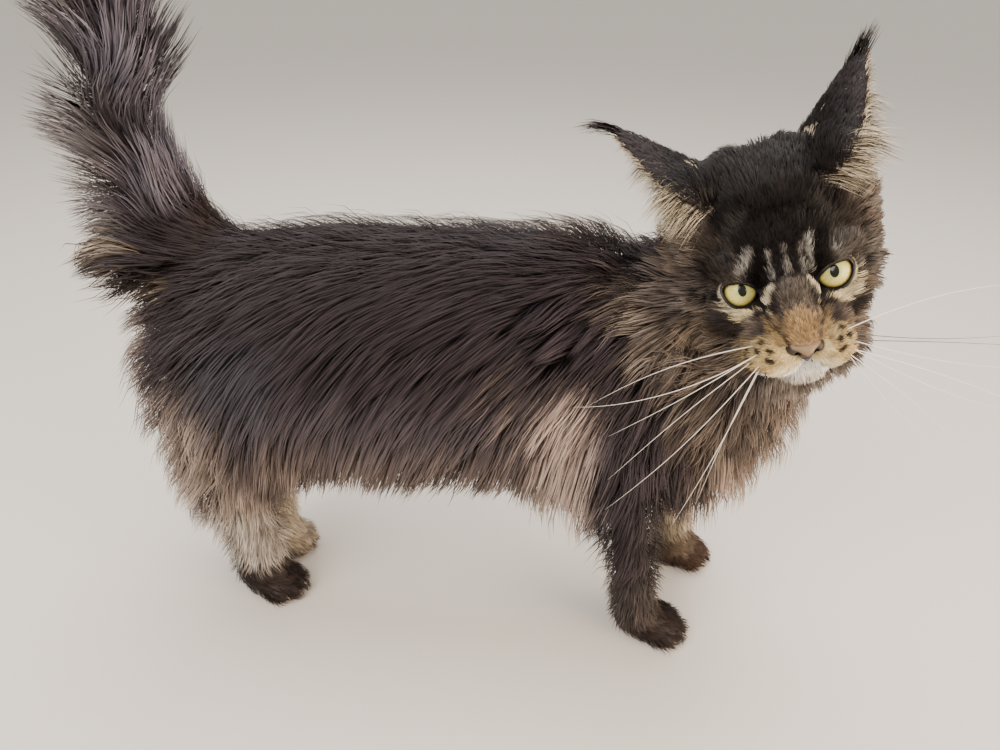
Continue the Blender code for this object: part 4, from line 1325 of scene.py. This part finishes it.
def comb(roots, normals, lies, lengths, depths, clings, droops, heights, steps, tuck):
    """Paths of hairs as an array (hair, ring, xyz), and the way up at each ring."""
    clings = clings[:, None]
    paths, ups = [roots - normals * 0.5 * MM], [normals]
    foot, up, place = roots, normals, roots
    way = headed(lies, normals, clings)
    tall = depths * heights
    for step in range(1, steps + 1):
        s = step / steps
        target = tall * stand(s, tuck)
        before = tall * stand(s - 1 / steps, tuck)
        least = (SLOWEST * lengths / steps) ** 2
        advance = np.sqrt(np.maximum((lengths / steps) ** 2 - (target - before) ** 2, least))
        moved, above = nearest_skin(foot + way * advance[:, None])
        along_skin = moved + above * target[:, None]
        free = place + way * advance[:, None] + up * (target - before)[:, None] * (0.3 + 0.7 * clings)
        free[:, 2] -= droops * (2 * s - 1 / steps) / steps
        place = free + (along_skin - free) * clings
        under, out = nearest_skin(place)
        height = ((place - under) * out).sum(1)
        place = place + out * np.maximum(LEAST_HEIGHT + 0.35 * target - height, 0.0)[:, None]
        paths.append(place)
        foot, up = moved, unit(up + (above - up) * clings)
        if step < steps:
            way = headed(way + (chart_at(place)[0] - way) * 0.5, up, clings)
        ups.append(up)
    return np.stack(paths, 1), np.stack(ups, 1)


def straightened(paths, lengths):
    """Takes sharp kinks out of hairs: a ring that turns back goes on with the one before."""
    steps = paths.shape[1] - 1
    pace = (lengths / steps)[:, None]
    for k in range(1, steps + 1):
        run = paths[:, k] - paths[:, k - 1]
        far = np.linalg.norm(run, axis=1, keepdims=True)
        way = run / np.maximum(far, 1e-9)
        if k > 1:
            before = unit(paths[:, k - 1] - paths[:, k - 2])
            sharp = (before * way).sum(1, keepdims=True) < LEAST_COSINE
            way = np.where(sharp, unit(way + before * 1.5), way)
        paths[:, k] = paths[:, k - 1] + way * np.clip(far, CALM_STEPS[0] * pace, CALM_STEPS[1] * pace)
    return paths


def gathered(paths, ups, lengths, strength):
    """Draws hairs towards the leader of their lock, more and more to the tips."""
    count = max(len(paths) // LOCK, 1)
    leaders = rng.choice(len(paths), count, replace=False)
    tree = KDTree(count)
    for i, leader in enumerate(leaders):
        tree.insert(paths[leader, 0], i)
    tree.balance()
    lock = np.array([tree.find(place)[1] for place in paths[:, 0].tolist()])
    steps = np.linspace(0, 1, paths.shape[1])[None, :, None]
    ways = unit(paths[:, -1] - paths[:, 0])
    sideways = unit(np.cross(ups[:, 0], ways))
    sway = rng.normal(0, 1, count)[lock][:, None] * sideways
    sway = sway + SWAY_UP * rng.random(count)[lock][:, None] * ups[:, -1]
    lead = paths[leaders][lock]
    pulled = paths + (lead - paths) * (strength[:, None, None] * steps**1.2)
    return pulled + sway[:, None, :] * (SWAY * lengths * strength)[:, None, None] * steps**2, lock


LIES, VALUES, PIECES = chart_at(ROOTS)
# The flanks are planted as two pieces, so that neither is heavy.
SIDES = np.where(ROOTS[:, 1] > MIDDLE_Y, "_left", "_right")
PIECES = np.where(PIECES == "flank", np.char.add(PIECES, SIDES), PIECES)
print("tufts per piece:", {str(name): int((PIECES == name).sum()) for name in sorted(set(PIECES))})

# %% [markdown]
# ## The coat
# The chart is followed piece by piece. Lengths, heights and shades vary from hair to hair
# and from lock to lock.
# %% Coat
TWO_RINGS = ("face", "muzzle", "paws", "legs", "ears")  # short tufts; the others have three rings
# Width and height of tufts against the rule.
BROADER = {"paws": 1.35, "legs": 1.3, "ears": 1.25, "face": 0.72, "muzzle": 0.72}
TALLER = {"legs": 1.8, "crown": 0.5, "back": 0.8}
# How strongly the hairs of a piece gather into locks.
GATHER = {
    "back": 0.16, "flank": 0.25, "haunch": 0.45, "chest": 0.5, "ruff": 0.65, "tail": 0.3, "cheeks": 0.5,
}
# How unevenly the hairs lie, and how much their shades vary.
UNEVEN = {"back": 0.04, "flank": 0.045, "haunch": 0.06, "crown": 0.06}
VARY = {"back": 0.25, "flank": 0.35, "haunch": 0.7, "crown": 0.7, "ears": 0.5}
# How far the tips of sleek pieces lie down again.
TUCK = {
    "back": 0.55, "flank": 0.3, "haunch": 0.25, "crown": 0.45, "face": 0.3, "muzzle": 0.3, "ears": 0.5,
}
LENGTHS, HEIGHTS, WIDTHS = (0.7, 1.08), (0.25, 1.0), (0.8, 1.25)  # least and most, against the rule
STRAYS, STRAY_HEIGHT, STRAY_GATHER = 0.03, 1.35, 0.3  # share of hairs that stand out, and how
SHORT_HAIR = 20 * MM  # the shorter the hair, the less whole locks differ in shade
HAIR_SHADE, LOCK_SHADE = 0.13, 0.16  # how much shades vary
LID_CLEAR = 0.3  # no hair reaches closer to the lids' opening, mm
CAD_LOW, CAD_HIGH = (np.array(corner) for corner in cad_box)
MARGIN = 8 * MM
TIP_CLEAR = 0.4 * MM  # tips keep this far off the floor


def inside_box(paths):
    """Keeps tips off the floor, and within the outline's box and a small margin."""
    low = np.append(CAD_LOW[:2] - MARGIN, TIP_CLEAR)
    return np.clip(paths, low, CAD_HIGH + MARGIN)


def coat_piece(name):
    """Arrays of all tufts of one piece of the coat."""
    mine = PIECES == name
    name = name.split("_")[0]
    roots, normals, spots = ROOTS[mine], ROOT_NORMALS[mine], ROOT_SPOTS[mine]
    lengths, depths, clings, droops = VALUES[mine].T
    count = len(roots)
    rings = 2 if name in TWO_RINGS else 3
    hair_length = lengths * rng.uniform(*LENGTHS, count)
    heights = rng.uniform(*HEIGHTS, count) ** (0.5 if name in TUCK else 0.8)
    stray = rng.random(count) < STRAYS
    heights = np.where(stray, heights * STRAY_HEIGHT, heights) * TALLER.get(name, 1.0)
    lies = unit(LIES[mine] + rng.normal(0, UNEVEN.get(name, 0.09), (count, 3)))
    tuck = TUCK.get(name, 0.0)
    paths, ups = comb(roots, normals, lies, hair_length, depths, clings, droops, heights, rings, tuck)
    paths = straightened(paths, hair_length)
    strength = np.full(count, GATHER.get(name, 0.25)) * np.where(stray, STRAY_GATHER, 1.0)
    paths, lock = gathered(paths, ups, hair_length, strength)
    if name in ("face", "muzzle"):
        gaps = [lid_distance(to_head(paths[:, k])) for k in range(1, rings + 1)]
        clear = np.flatnonzero(np.min(gaps, axis=0) > LID_CLEAR)
        roots, normals, spots, lies, lock = (rows[clear] for rows in (roots, normals, spots, lies, lock))
        paths, ups, lengths, hair_length = (rows[clear] for rows in (paths, ups, lengths, hair_length))
        count = len(clear)
    blur = rng.normal(0, 1, (count, 3)) * (BLUR * lengths)[:, None]
    hair, tips = markings(roots + flattened(lies, normals) * (SEEN * lengths)[:, None] + blur)
    inner = ear_hollow(roots, normals)
    hair[inner], tips[inner] = linear(INNER_EAR[0]), linear(INNER_EAR[1])
    vary = VARY.get(name, 1.0)
    short = np.clip(1.0 - lengths / SHORT_HAIR, 0.0, 1.0)
    pale_lock = rng.random(lock.max() + 1)[lock]
    pale = np.clip(pale_lock * (1 - short) + rng.random(count) * (0.35 + 0.65 * short), 0, 1)
    pale = 0.5 + (pale - 0.5) * vary
    shade = rng.normal(0, HAIR_SHADE, count) + rng.normal(0, LOCK_SHADE, lock.max() + 1)[lock]
    shade = np.exp(vary * shade)[:, None, None]
    fade = (np.linspace(0, 1, rings + 1) ** 1.3)[None, :, None] * (0.15 + 1.1 * pale**1.5)[:, None, None]
    colours = hair[:, None] + (tips - hair)[:, None] * np.clip(fade, 0, 1.2)
    colours = np.clip(colours * shade, 0, 1)
    # Painted shade: the ring at each tuft's root is darkened, for the shade deep in the coat close to the
    # skin.
    colours[:, 0] *= 0.85 - 0.25 * vary
    widths = tuft_width(hair_length) * rng.uniform(*WIDTHS, count) * BROADER.get(name, 1.0)
    return tuft_arrays(inside_box(paths), ups, widths, colours, spots)


COAT = {name: [coat_piece(name)] for name in sorted(set(PIECES))}
print("coat triangles:", sum(len(parts[0][1]) for parts in COAT.values()))

# %% [markdown]
# ## Long hair of ears and toes
# A Maine Coon has tufts on the tips of its ears, long hair that streams out of them, and
# hair between its toes. These hairs are given one by one by root, way and bend.
# %% Furnishings
EDGE_CREAM = ("#8f8070", "#dccdb0")
TIP_TUFT = ("#120e0d", "#2b201b")
TIP_BEND = {"right": (0.0, -0.25, -0.35), "left": (0.05, 0.05, 0.1)}
TIP_LENGTH = {"right": (7, 27), "left": (6, 17)}
# Long hair at an ear's edges: how many, from where to where along it, least and most length, width.
STREAMERS = ((800, 0.0, 0.34, 8, 19, 0.2), (400, 0.3, 0.62, 5, 14, 0.18), (150, 0.6, 0.85, 3, 7, 0.16))
HOLLOW_TOP = 0.8
HOLLOW_HAIRS = 1300
TOE_HAIR = (("#17110e", "#33261f"), ("#2a1f18", "#5a4636"), ("#17110e", "#3a2d25"), ("#2a1f18", "#6a5947"))
TOE_HAIRS = 150
TOE_GAPS = (-15.5, -8.4, 0.0, 8.4, 15.5)  # aside from the middle of the paw, mm


def hairs(roots, ways, bends, lengths, widths, hair, tips, rings=3):
    """Arrays of free hairs, by root, way and bend in the body's frame."""
    steps = np.linspace(0, 1, rings + 1)[None, :, None]
    reach = lengths[:, None, None]
    paths = roots[:, None] + unit(ways)[:, None] * reach * steps + bends[:, None] * reach * steps**2
    ups = np.repeat(unit(np.cross(ways, rng.normal(0, 1, ways.shape)))[:, None], rings + 1, axis=1)
    found = [SKIN_TREE.find_nearest(place)[2] for place in roots.tolist()]
    spots = SKIN_MAP[found].mean(1)
    shade = np.exp(rng.normal(0, 0.15, len(roots)))[:, None, None]
    colours = np.clip((linear(hair) + (linear(tips) - linear(hair)) * steps) * shade, 0, 1)
    return tuft_arrays(inside_box(paths), ups, widths, colours, spots)


def ear_hairs(side):
    """Fringe, long inner hair and tip tuft of an ear."""
    along, front, across = (HEAD_TURNED @ np.array(axis) for axis in ear_axes(side)[2:])
    parts = []

    def grown(count, low, high, turns, way, bend, least, most, wide, hair, tips, rings, depth=0.0):
        t = rng.uniform(low, high, count)
        turned = [ear_sweep(v) * (turns[0] + (turns[1] - turns[0]) * rng.random()) for v in t]
        roots = np.array([HEAD @ ear_point(side, v, a, depth) for v, a in zip(t, turned)])
        ways = np.array(way)[None] + rng.normal(0, 0.16, (count, 3))
        bends = np.array(bend)[None] + rng.normal(0, 0.05, (count, 3))
        lengths = rng.uniform(least, most, count) * MM
        widths = rng.uniform(0.7, 1.2, count) * wide * MM
        parts.append(hairs(roots, ways, bends, lengths, widths, hair, tips, rings))

    scale = 1.0
    down = HEAD_TURNED @ np.array((0.0, 0.0, -1.0))
    for edge in (1.0, -1.0):
        reach, low = (1.0, 0.15) if edge == OUTER_EDGE[side] else (0.5, 0.45)
        way = along * 0.9 + across * edge * 0.3 + front * 0.35
        turns = (0.93 * edge, 1.0 * edge)
        grown(int(450 * scale), low, 0.93, turns, way, front * 0.1, 2, 4.5, 0.3, *EDGE_CREAM, 2)
        way = front * 0.7 + along * 0.35 + across * edge * 0.55
        bend = front * 0.15 + down * 0.35
        turns = (0.55 * edge, 0.98 * edge)
        for count, foot, top, least, most, wide in STREAMERS:
            count = int(count * reach * scale)
            grown(count, foot, top, turns, way, bend, least * reach, most * reach, wide, *INNER_EAR, 2)
    way = front * 0.75 + along * 0.25
    grown(int(150 * scale), 0.04, 0.4, (-0.8, 0.8), way, down * 0.4, 9, 17, 0.24, *INNER_EAR, 2, EAR_WALL)
    bend = HEAD_TURNED @ np.array(TIP_BEND[side])
    grown(int(170 * scale), 0.88, 1.0, (-1.0, 1.0), along * 2.2, bend, *TIP_LENGTH[side], 0.3, *TIP_TUFT, 3)
    return parts


def hollow_hairs(side):
    """Long pale hair that grows in the hollow of an ear and streams out of it."""
    root, tip, along, front, _ = (np.array(value) for value in ear_axes(side))
    heads = to_head(ROOTS)
    height = (heads - root) @ along / np.linalg.norm(tip - root)
    inside = ear_hollow(ROOTS, ROOT_NORMALS) & (heads[:, 1] * (1 if side == "left" else -1) > 0)
    pick = rng.choice(np.flatnonzero(inside & (height < HOLLOW_TOP)), HOLLOW_HAIRS)
    ways = HEAD_TURNED @ (front * 0.3 + along * 0.95) + rng.normal(0, 0.16, (len(pick), 3))
    roots = ROOTS[pick] + rng.normal(0, 0.7 * MM, (len(pick), 3))
    bends = np.tile(HEAD_TURNED @ (front * 0.35 - along * 0.1), (len(pick), 1))
    lengths = (18.0 - 16.0 * height[pick]) * rng.uniform(0.6, 1.1, len(pick)) * MM
    widths = rng.uniform(0.18, 0.32, len(pick)) * MM
    return [hairs(roots, ways, bends, lengths, widths, *INNER_EAR, 2)]


for side_name in EARS:
    COAT["ears"] += ear_hairs(side_name) + hollow_hairs(side_name)


def toe_hairs():
    """Hair that stands out between and over the toes."""
    parts = []
    count = TOE_HAIRS
    for paw, look in zip(PAWS, TOE_HAIR):
        place = paw_frame(paw)
        turn = np.array(place.to_3x3().normalized())
        aside = rng.choice(TOE_GAPS, count) + rng.normal(0, 1.3, count)
        ahead = 24 - 0.045 * aside**2 + rng.normal(0, 2.5, count)
        up = rng.uniform(3.5, 12.0, count)
        roots = np.array([place @ Vector(row) for row in zip(ahead - 5, aside, up)])
        ways = np.stack((np.full(count, 0.9), 0.035 * aside, rng.uniform(-0.25, 0.35, count)), 1) @ turn.T
        bends = np.tile((0.0, 0.0, -0.2), (count, 1))
        lengths = rng.uniform(6, 12, count) * MM
        widths = rng.uniform(0.35, 0.55, count) * MM
        parts.append(hairs(roots, ways, bends, lengths, widths, *look, 2))
    return parts


COAT["paws"] += toe_hairs()
print("triangles with furnishings:", sum(len(part[1]) for parts in COAT.values() for part in parts))

# %% [markdown]
# ## Finish skin and coat
# Lid rims and lip line are dark bare skin, the hollows of the ears a dull brownish pink,
# the pads under the paws nearly black.
# %% Finish skin and coat
BARE = "#140f0d"
EAR_SKIN = "#66514a"
PAD_SKIN = "#1f1917"
LEATHER_BED = "#6b5650"


def skin_colours():
    """Colours of the skin's points: mostly hair colour, and bare skin where no hair grows."""
    hair, tips = markings(SKIN_PLACES)
    colours = hair + (tips - hair) * 0.25
    heads = to_head(SKIN_PLACES)
    inside = ear_hollow(SKIN_PLACES, SKIN_NORMALS)
    colours[inside] = linear(EAR_SKIN)
    colours[(SKIN_PLACES[:, 2] < PAD_HEIGHT) & (SKIN_NORMALS[:, 2] < -0.5)] = linear(PAD_SKIN)
    colours[on_leather(heads)] = linear(LEATHER_BED)
    colours[mouth_distance(heads) < MOUTH_WIDTH] = linear(BARE)
    colours[(lid_distance(heads) < 0.2) | (tear_distance(heads) < 1.0)] = linear(BARE)
    return colours


paint(skin.data, skin_colours())
flesh = [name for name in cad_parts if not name.startswith(("eye", "whisk", "nose"))]
finish_piece(skin, skin_material, "coat", *flesh)
for name, parts in COAT.items():
    finish_piece(tuft_object("coat_" + name, parts), hair_material, "coat")

# %% [markdown]
# ## Eyes
# Each eye is a ball with the bulge of its cornea. A point's place against the gaze, in
# millimetres, is stored on the mesh, and the shader draws pupil, iris and dark rim by it.
# %% Eyes
GAZE = (9.25, 1.35, 5.2)  # forwards, inwards to the nose, up
CORNEA_AHEAD, CORNEA_RADIUS = 3.0, 8.0
PUPIL = (2.15, 3.3)  # half its width and half its height
# Radius and colour, from the pupil out to the dark rim.
IRIS_RINGS = (
    (1.5, "#98a35f"), (2.9, "#bbbf70"), (4.6, "#d8d07c"),
    (6.6, "#d3c268"), (7.6, "#8f8340"), (8.2, "#1f170e"),
)
IRIS_SCALE = 10.0  # radius at the end of the ramp
RIM = (0.65, 0.5)  # half the width and half the thickness of a lid's margin, mm
RIM_OUT, RIM_SUNK = 0.3, 0.1
RIM_POINTS = 8


def ball_and_cornea(side):
    """An eyeball that bulges where it looks out, and knows where that is."""
    bm = bmesh.new()
    bmesh.ops.create_uvsphere(bm, u_segments=96, v_segments=64, radius=1.0)
    x, y, z = EYE_CENTRE
    gaze = Vector((GAZE[0], -side * GAZE[1], GAZE[2])).normalized()
    level = Vector((0, 0, 1)).cross(gaze).normalized()
    turn = Matrix((gaze, level, gaze.cross(level)))
    rows = []
    for vert in bm.verts:
        way = vert.co.normalized()
        ahead = gaze.dot(way)
        bulge = CORNEA_RADIUS**2 - CORNEA_AHEAD**2 * (1 - ahead**2)
        reach = max(EYE_RADIUS - 0.05, CORNEA_AHEAD * ahead + np.sqrt(bulge) if ahead > 0 else 0)
        place = way * reach
        rows.append(tuple(turn @ place))
        vert.co = HEAD @ (Vector((x, side * y, z)) + place)
    obj = new_object("eye_ball_" + SIDE_NAMES[side], bm)
    layer = obj.data.attributes.new("gaze_place", "FLOAT_VECTOR", "POINT")
    layer.data.foreach_set("vector", np.array(rows, np.float32).ravel())
    obj.data.shade_smooth()
    return obj


def maths(tree, operation, first, second):
    """The result of a sum with two sockets or values, as a socket."""
    return add_node(tree, "ShaderNodeMath", {"operation": operation}, i0=first, i1=second).outputs[0]


def scaled(tree, colour, factor):
    """A colour socket times another socket."""
    return add_node(tree, "ShaderNodeVectorMath", {"operation": "SCALE"}, i0=colour, Scale=factor).outputs[0]


def eye_material():
    # Wet cornea over a pale yellow-green iris.
    made, tree, shader = new_material(
        "eye, iris under cornea", Roughness=0.35, Specular_IOR_Level=0.1,
        Coat_Weight=1.0, Coat_IOR=1.36, Coat_Roughness=0.03,
    )
    place = add_node(tree, "ShaderNodeAttribute", {"attribute_name": "gaze_place"})
    split = add_node(tree, "ShaderNodeSeparateXYZ", Vector=place.outputs["Vector"])
    across, up = split.outputs["Y"], split.outputs["Z"]
    square = maths(tree, "ADD", maths(tree, "POWER", across, 2.0), maths(tree, "POWER", up, 2.0))
    radius = maths(tree, "POWER", square, 0.5)
    ramp = add_node(tree, "ShaderNodeValToRGB", i0=maths(tree, "DIVIDE", radius, IRIS_SCALE))
    points = ramp.color_ramp.elements
    while len(points) < len(IRIS_RINGS):
        points.new(0.5)
    for point, (at, colour) in zip(points, IRIS_RINGS):
        point.position = at / IRIS_SCALE
        point.color = rgba(colour)
    # Fine fibres run outwards from the pupil.
    fibre = add_node(
        tree, "ShaderNodeCombineXYZ", X=maths(tree, "DIVIDE", across, radius),
        Y=maths(tree, "DIVIDE", up, radius), Z=maths(tree, "MULTIPLY", radius, 0.05),
    )
    noise = add_node(tree, "ShaderNodeTexNoise", Vector=fibre.outputs[0], Scale=9.0, Detail=3.0)
    tone = add_node(tree, "ShaderNodeMapRange", Value=noise.outputs["Fac"], i1=0.3, i2=0.7, i3=0.72, i4=1.12)
    iris = scaled(tree, ramp.outputs["Color"], tone.outputs[0])
    wide = maths(tree, "POWER", maths(tree, "DIVIDE", across, PUPIL[0]), 2.0)
    tall = maths(tree, "POWER", maths(tree, "DIVIDE", up, PUPIL[1]), 2.0)
    oval = maths(tree, "ADD", wide, tall)
    edge = add_node(tree, "ShaderNodeMapRange", Value=oval, i1=0.92, i2=1.1, i3=0.01, i4=1.0)
    feed(shader, Base_Color=scaled(tree, iris, edge.outputs[0]))
    return made


def lid_rim(side):
    """The bare margin of the lids, a smooth closed cord round their opening."""
    bm = bmesh.new()
    x, y, z = EYE_CENTRE
    places = []
    for place in LID_CURVE:
        inward, up = place + unit(place - np.array(LID_MIDDLE)) * RIM_OUT
        ahead, aside, high = on_ball(inward, up, LID_RADIUS - RIM_SUNK)
        places.append(Vector((x + ahead, side * (y - aside), z + high)))
    rings = []
    for i, place in enumerate(places):
        out = (place - Vector((x, side * y, z))).normalized()
        along = (places[(i + 1) % len(places)] - places[i - 1]).normalized()
        across = along.cross(out)
        points = []
        for k in range(RIM_POINTS):
            turn = k * pi / (RIM_POINTS / 2)
            spot = place + across * cos(turn) * RIM[0] + out * sin(turn) * RIM[1]
            points.append(bm.verts.new(HEAD @ spot))
        rings.append(points)
    for lower, upper in zip(rings, rings[1:] + rings[:1]):
        band(bm, lower, upper)
    obj = new_object("lid_rim_" + SIDE_NAMES[side], bm)
    obj.data.shade_smooth()
    return obj


# Moist, nearly black bare skin.
lid_material = new_material("lid margin", Base_Color=rgba(BARE), Roughness=0.4)[0]
for side in (-1, 1):
    finish_piece(lid_rim(side), lid_material, "eye")
iris_material = eye_material()
for side in (-1, 1):
    finish_piece(ball_and_cornea(side), iris_material, "eye", "eye_" + SIDE_NAMES[side])

# %% [markdown]
# ## Nose leather
# Bare, finely pebbled, tan with a dark outline, and two comma-shaped nostrils.
# %% Nose
NOSE_CELL = 0.45 * MM
NOSE_MASSES = (
    ((30.2, 0, -18.8), (5.4, 7.9, 2.4)),
    ((31.2, 0, -20.7), (5.7, 5.4, 3.8)),
    ((30.2, 0, -23.6), (5.2, 3.2, 3.6)),
    ((29.4, 0, -26.2), (4.2, 1.6, 2.6)),
)
NOSE_WINGS = ((29.6, 5.4, -20.2), (5.2, 3.6, 3.5))
NOSTRILS = (((36.0, 4.3, -21.2), (4.2, 1.5, 1.25)), ((33.4, 6.8, -21.9), (3.6, 2.2, 0.65)))


def nose_object():
    """The leather, fused from a few masses, with the nostrils cut into it."""
    bm = bmesh.new()
    for centre, radii in NOSE_MASSES:
        ellipsoid(bm, centre, radii, HEAD)
    for side in (-1, 1):
        (x, y, z), radii = NOSE_WINGS
        ellipsoid(bm, (x, side * y, z), radii, HEAD)
    obj = fused(new_object("nose_leather", bm), NOSE_CELL, 3)
    for side in (-1, 1):
        for (x, y, z), radii in NOSTRILS:
            cutter = bmesh.new()
            ellipsoid(cutter, (x, side * y, z), radii, HEAD, 20, 14)
            boolean(obj, new_object("nostril", cutter), "DIFFERENCE")
    obj.data.shade_smooth()
    return obj


def nose_material():
    # Moist bare skin, pebbled.
    made, tree, shader = new_material("nose leather", Roughness=0.45)
    colour = add_node(tree, "ShaderNodeAttribute", {"attribute_name": COLOUR_NAME})
    place = add_node(tree, "ShaderNodeTexCoord").outputs["Object"]
    cells = add_node(tree, "ShaderNodeTexVoronoi", Vector=place, Scale=1700.0)
    pebbles = cells.outputs["Distance"]
    bump = add_node(tree, "ShaderNodeBump", Height=pebbles, Strength=0.5, Distance=0.2 * MM)
    feed(shader, Base_Color=colour.outputs["Color"], Normal=bump.outputs["Normal"])
    return made


def nose_colours(obj):
    """Tan, and dark at the wings, below them and round the nostrils."""
    heads = folded(to_head(array_of(obj.data.vertices, "co", 3)))
    tan, dark = linear("#7c6345"), linear("#241812")
    side, up = heads[:, 1], heads[:, 2]
    outline = np.clip((side - 6.6) / 1.4, 0, 1) + np.clip((-21.4 + 0.62 * side - up) / 1.3, 0, 1)
    for place, radii in NOSTRILS:
        near = (((heads - place) / np.array(radii)) ** 2).sum(1)
        outline += np.clip(1.7 - near, 0, 1)
    return tan + (dark - tan) * np.clip(outline, 0, 1)[:, None]


leather = nose_object()
paint(leather.data, nose_colours(leather))
finish_piece(leather, nose_material(), "nose", "nose")

# %% [markdown]
# ## Whiskers and claws
# Whiskers are stiff and mostly pale, thick at the root and drawn out to a point. Claws
# are drawn back into the toes, so that only their tips show.
# %% Whiskers and claws
# Root forwards and up on the pad, length in mm, degrees back from straight ahead, degrees of
# lift, droop in mm, for the right (-1) and the left.
WHISKERS = {
    -1: (
        (-2, 2.5, 96, 94, -8, 10), (2, 2.5, 92, 90, -20, 6), (0, 1, 118, 88, -32, -52),
        (3, 0, 124, 80, -37, -4), (-2, -1, 116, 84, -36, -8), (1, -2, 110, 72, -52, 2),
        (-1, -3, 96, 70, -58, -4), (3, -3.5, 78, 60, -66, -2),
    ),
    1: (
        (0, 3, 100, 108, -2, 10), (-2, 1.5, 104, 106, -22, 2), (2, 1, 112, 102, -29, -14),
        (-1, 0, 114, 106, -31, 2), (3, -1, 124, 100, -40, -6), (0, -2, 118, 104, -42, 0),
        (2, -3, 114, 100, -56, -4), (1, -3, 88, 98, -62, -4),
    ),
}
WHISKER_ROOT = (24.5, 19.0, -25.0)
WHISKER_STEPS = 14
PALE_WHISKER, DARK_WHISKER = "#e6e0d6", "#2a2320"
DARK_WHISKERS = {-1: (7,), 1: (1, 2)}  # which of them are dark
WHISKER_BOW, WHISKER_ROOTED, WHISKER_TIP = 0.035, 0.22, 0.04  # bow against length; half widths, mm
CLAW_STEPS = 6


def whiskers(side):
    """All whiskers of a side as one mesh of tapering tubes."""
    bm = bmesh.new()
    x, y, z = WHISKER_ROOT
    for index, (ahead, up, length, back, lift, droop) in enumerate(WHISKERS[side]):
        root = Vector((x + 1.4 * ahead - 1.0, side * (y - 0.35 * abs(ahead)), z + 1.5 * up))
        level = Vector((cos(radians(back)), side * sin(radians(back)), 0))
        away = level * cos(radians(lift)) + Vector((0, 0, sin(radians(lift))))
        stations = []
        for step in range(WHISKER_STEPS + 1):
            t = step / WHISKER_STEPS
            bow = sin(pi * t) * length * WHISKER_BOW * (-1) ** index
            place = root + away * (length * t) + Vector((0, 0, bow - t * t * droop))
            thick = (WHISKER_ROOTED * (1 - t) ** 0.8 + WHISKER_TIP) * MM
            stations.append((HEAD @ place, thick, thick))
        tube(bm, stations, HEAD.to_3x3() @ Vector((1, 0, 0)), 6)
    obj = new_object("whiskers_of_" + SIDE_NAMES[side], bm)
    each = len(obj.data.vertices) // len(WHISKERS[side])
    shades = np.tile(linear(PALE_WHISKER), (len(obj.data.vertices), 1))
    for index in DARK_WHISKERS[side]:
        shades[index * each : (index + 1) * each] = linear(DARK_WHISKER)
    paint(obj.data, shades)
    obj.data.shade_smooth()
    return obj


# Whisker: stiff keratin, pale or dark by the point colours.
whisker_material, tree, shader = new_material("whisker keratin", Roughness=0.35, Coat_Weight=0.3)
shades = add_node(tree, "ShaderNodeAttribute", {"attribute_name": COLOUR_NAME})
feed(shader, Base_Color=shades.outputs["Color"])
for side in (-1, 1):
    finish_piece(whiskers(side), whisker_material, "horn", "whiskers_" + SIDE_NAMES[side])


def claws():
    """A short bent spike in front of each toe."""
    bm = bmesh.new()
    for paw in PAWS:
        place = paw_frame(paw)
        for aside, ahead in TOES:
            stations = []
            for step in range(CLAW_STEPS + 1):
                t = step / CLAW_STEPS
                bend = Vector((ahead + 7.0 + 5.5 * t, aside, 9.5 - 3.6 * t * t - 0.8 * t))
                thick = (0.95 * (1 - t) ** 0.7 + 0.06) * MM
                stations.append((place @ bend, thick * 0.7, thick))
            tube(bm, stations, place.to_3x3() @ Vector((0, 1, 0)), 8)
    return new_object("claws", bm)


claw_set = claws()
claw_set.data.shade_smooth()
# Claw: smooth horn.
claw_material = new_material("claw horn", Base_Color=rgba("#8b7d70"), Roughness=0.3, Coat_Weight=0.3)[0]
finish_piece(claw_set, claw_material, "horn")

# %% [markdown]
# ## Floor and light
# A pale, plain floor and large soft lights: one high and behind the viewer's left
# shoulder, one above, and a lower, warmer one from the right.
# %% Studio
# Name, place, width, power in watts and tint.
LIGHTS = (
    ("key", (-0.75, -1.05, 1.35), 1.1, 33.0, "#fff6ee"),
    ("top", (0.05, 0.35, 1.60), 1.3, 32.0, "#fffaf5"),
    ("fill", (1.20, -0.75, 0.55), 0.9, 31.0, "#ffe6ca"),
)
LIT_PLACE = (0.0, 0.0, 0.22)  # all lights face it


def add_lights():
    for name, place, size, power, tint in LIGHTS:
        data = bpy.data.lights.new(name, "AREA")
        data.size = size
        data.energy = power
        data.color = linear(tint)
        turn = (Vector(LIT_PLACE) - Vector(place)).to_track_quat("-Z", "Y").to_matrix().to_4x4()
        linked(name, data).matrix_world = Matrix.Translation(place) @ turn


def add_world():
    world = bpy.data.worlds.new("studio")
    world.use_nodes = True
    feed(world.node_tree.nodes["Background"], Color=rgba("#dad5ce"), Strength=1.18)
    bpy.context.scene.world = world


def add_floor():
    bm = bmesh.new()
    bmesh.ops.create_grid(bm, x_segments=1, y_segments=1, size=40.0)
    floor = new_object("floor", bm)
    # Pale sealed concrete.
    floor.data.materials.append(new_material("pale floor", Base_Color=rgba("#d6d0c8"), Roughness=0.45)[0])


add_lights()
add_world()
add_floor()
print("lights:", len(LIGHTS))

# %% [markdown]
# ## Sizes
# The box of the solids is printed.
# %% Finish
print("solids:", cad_box)
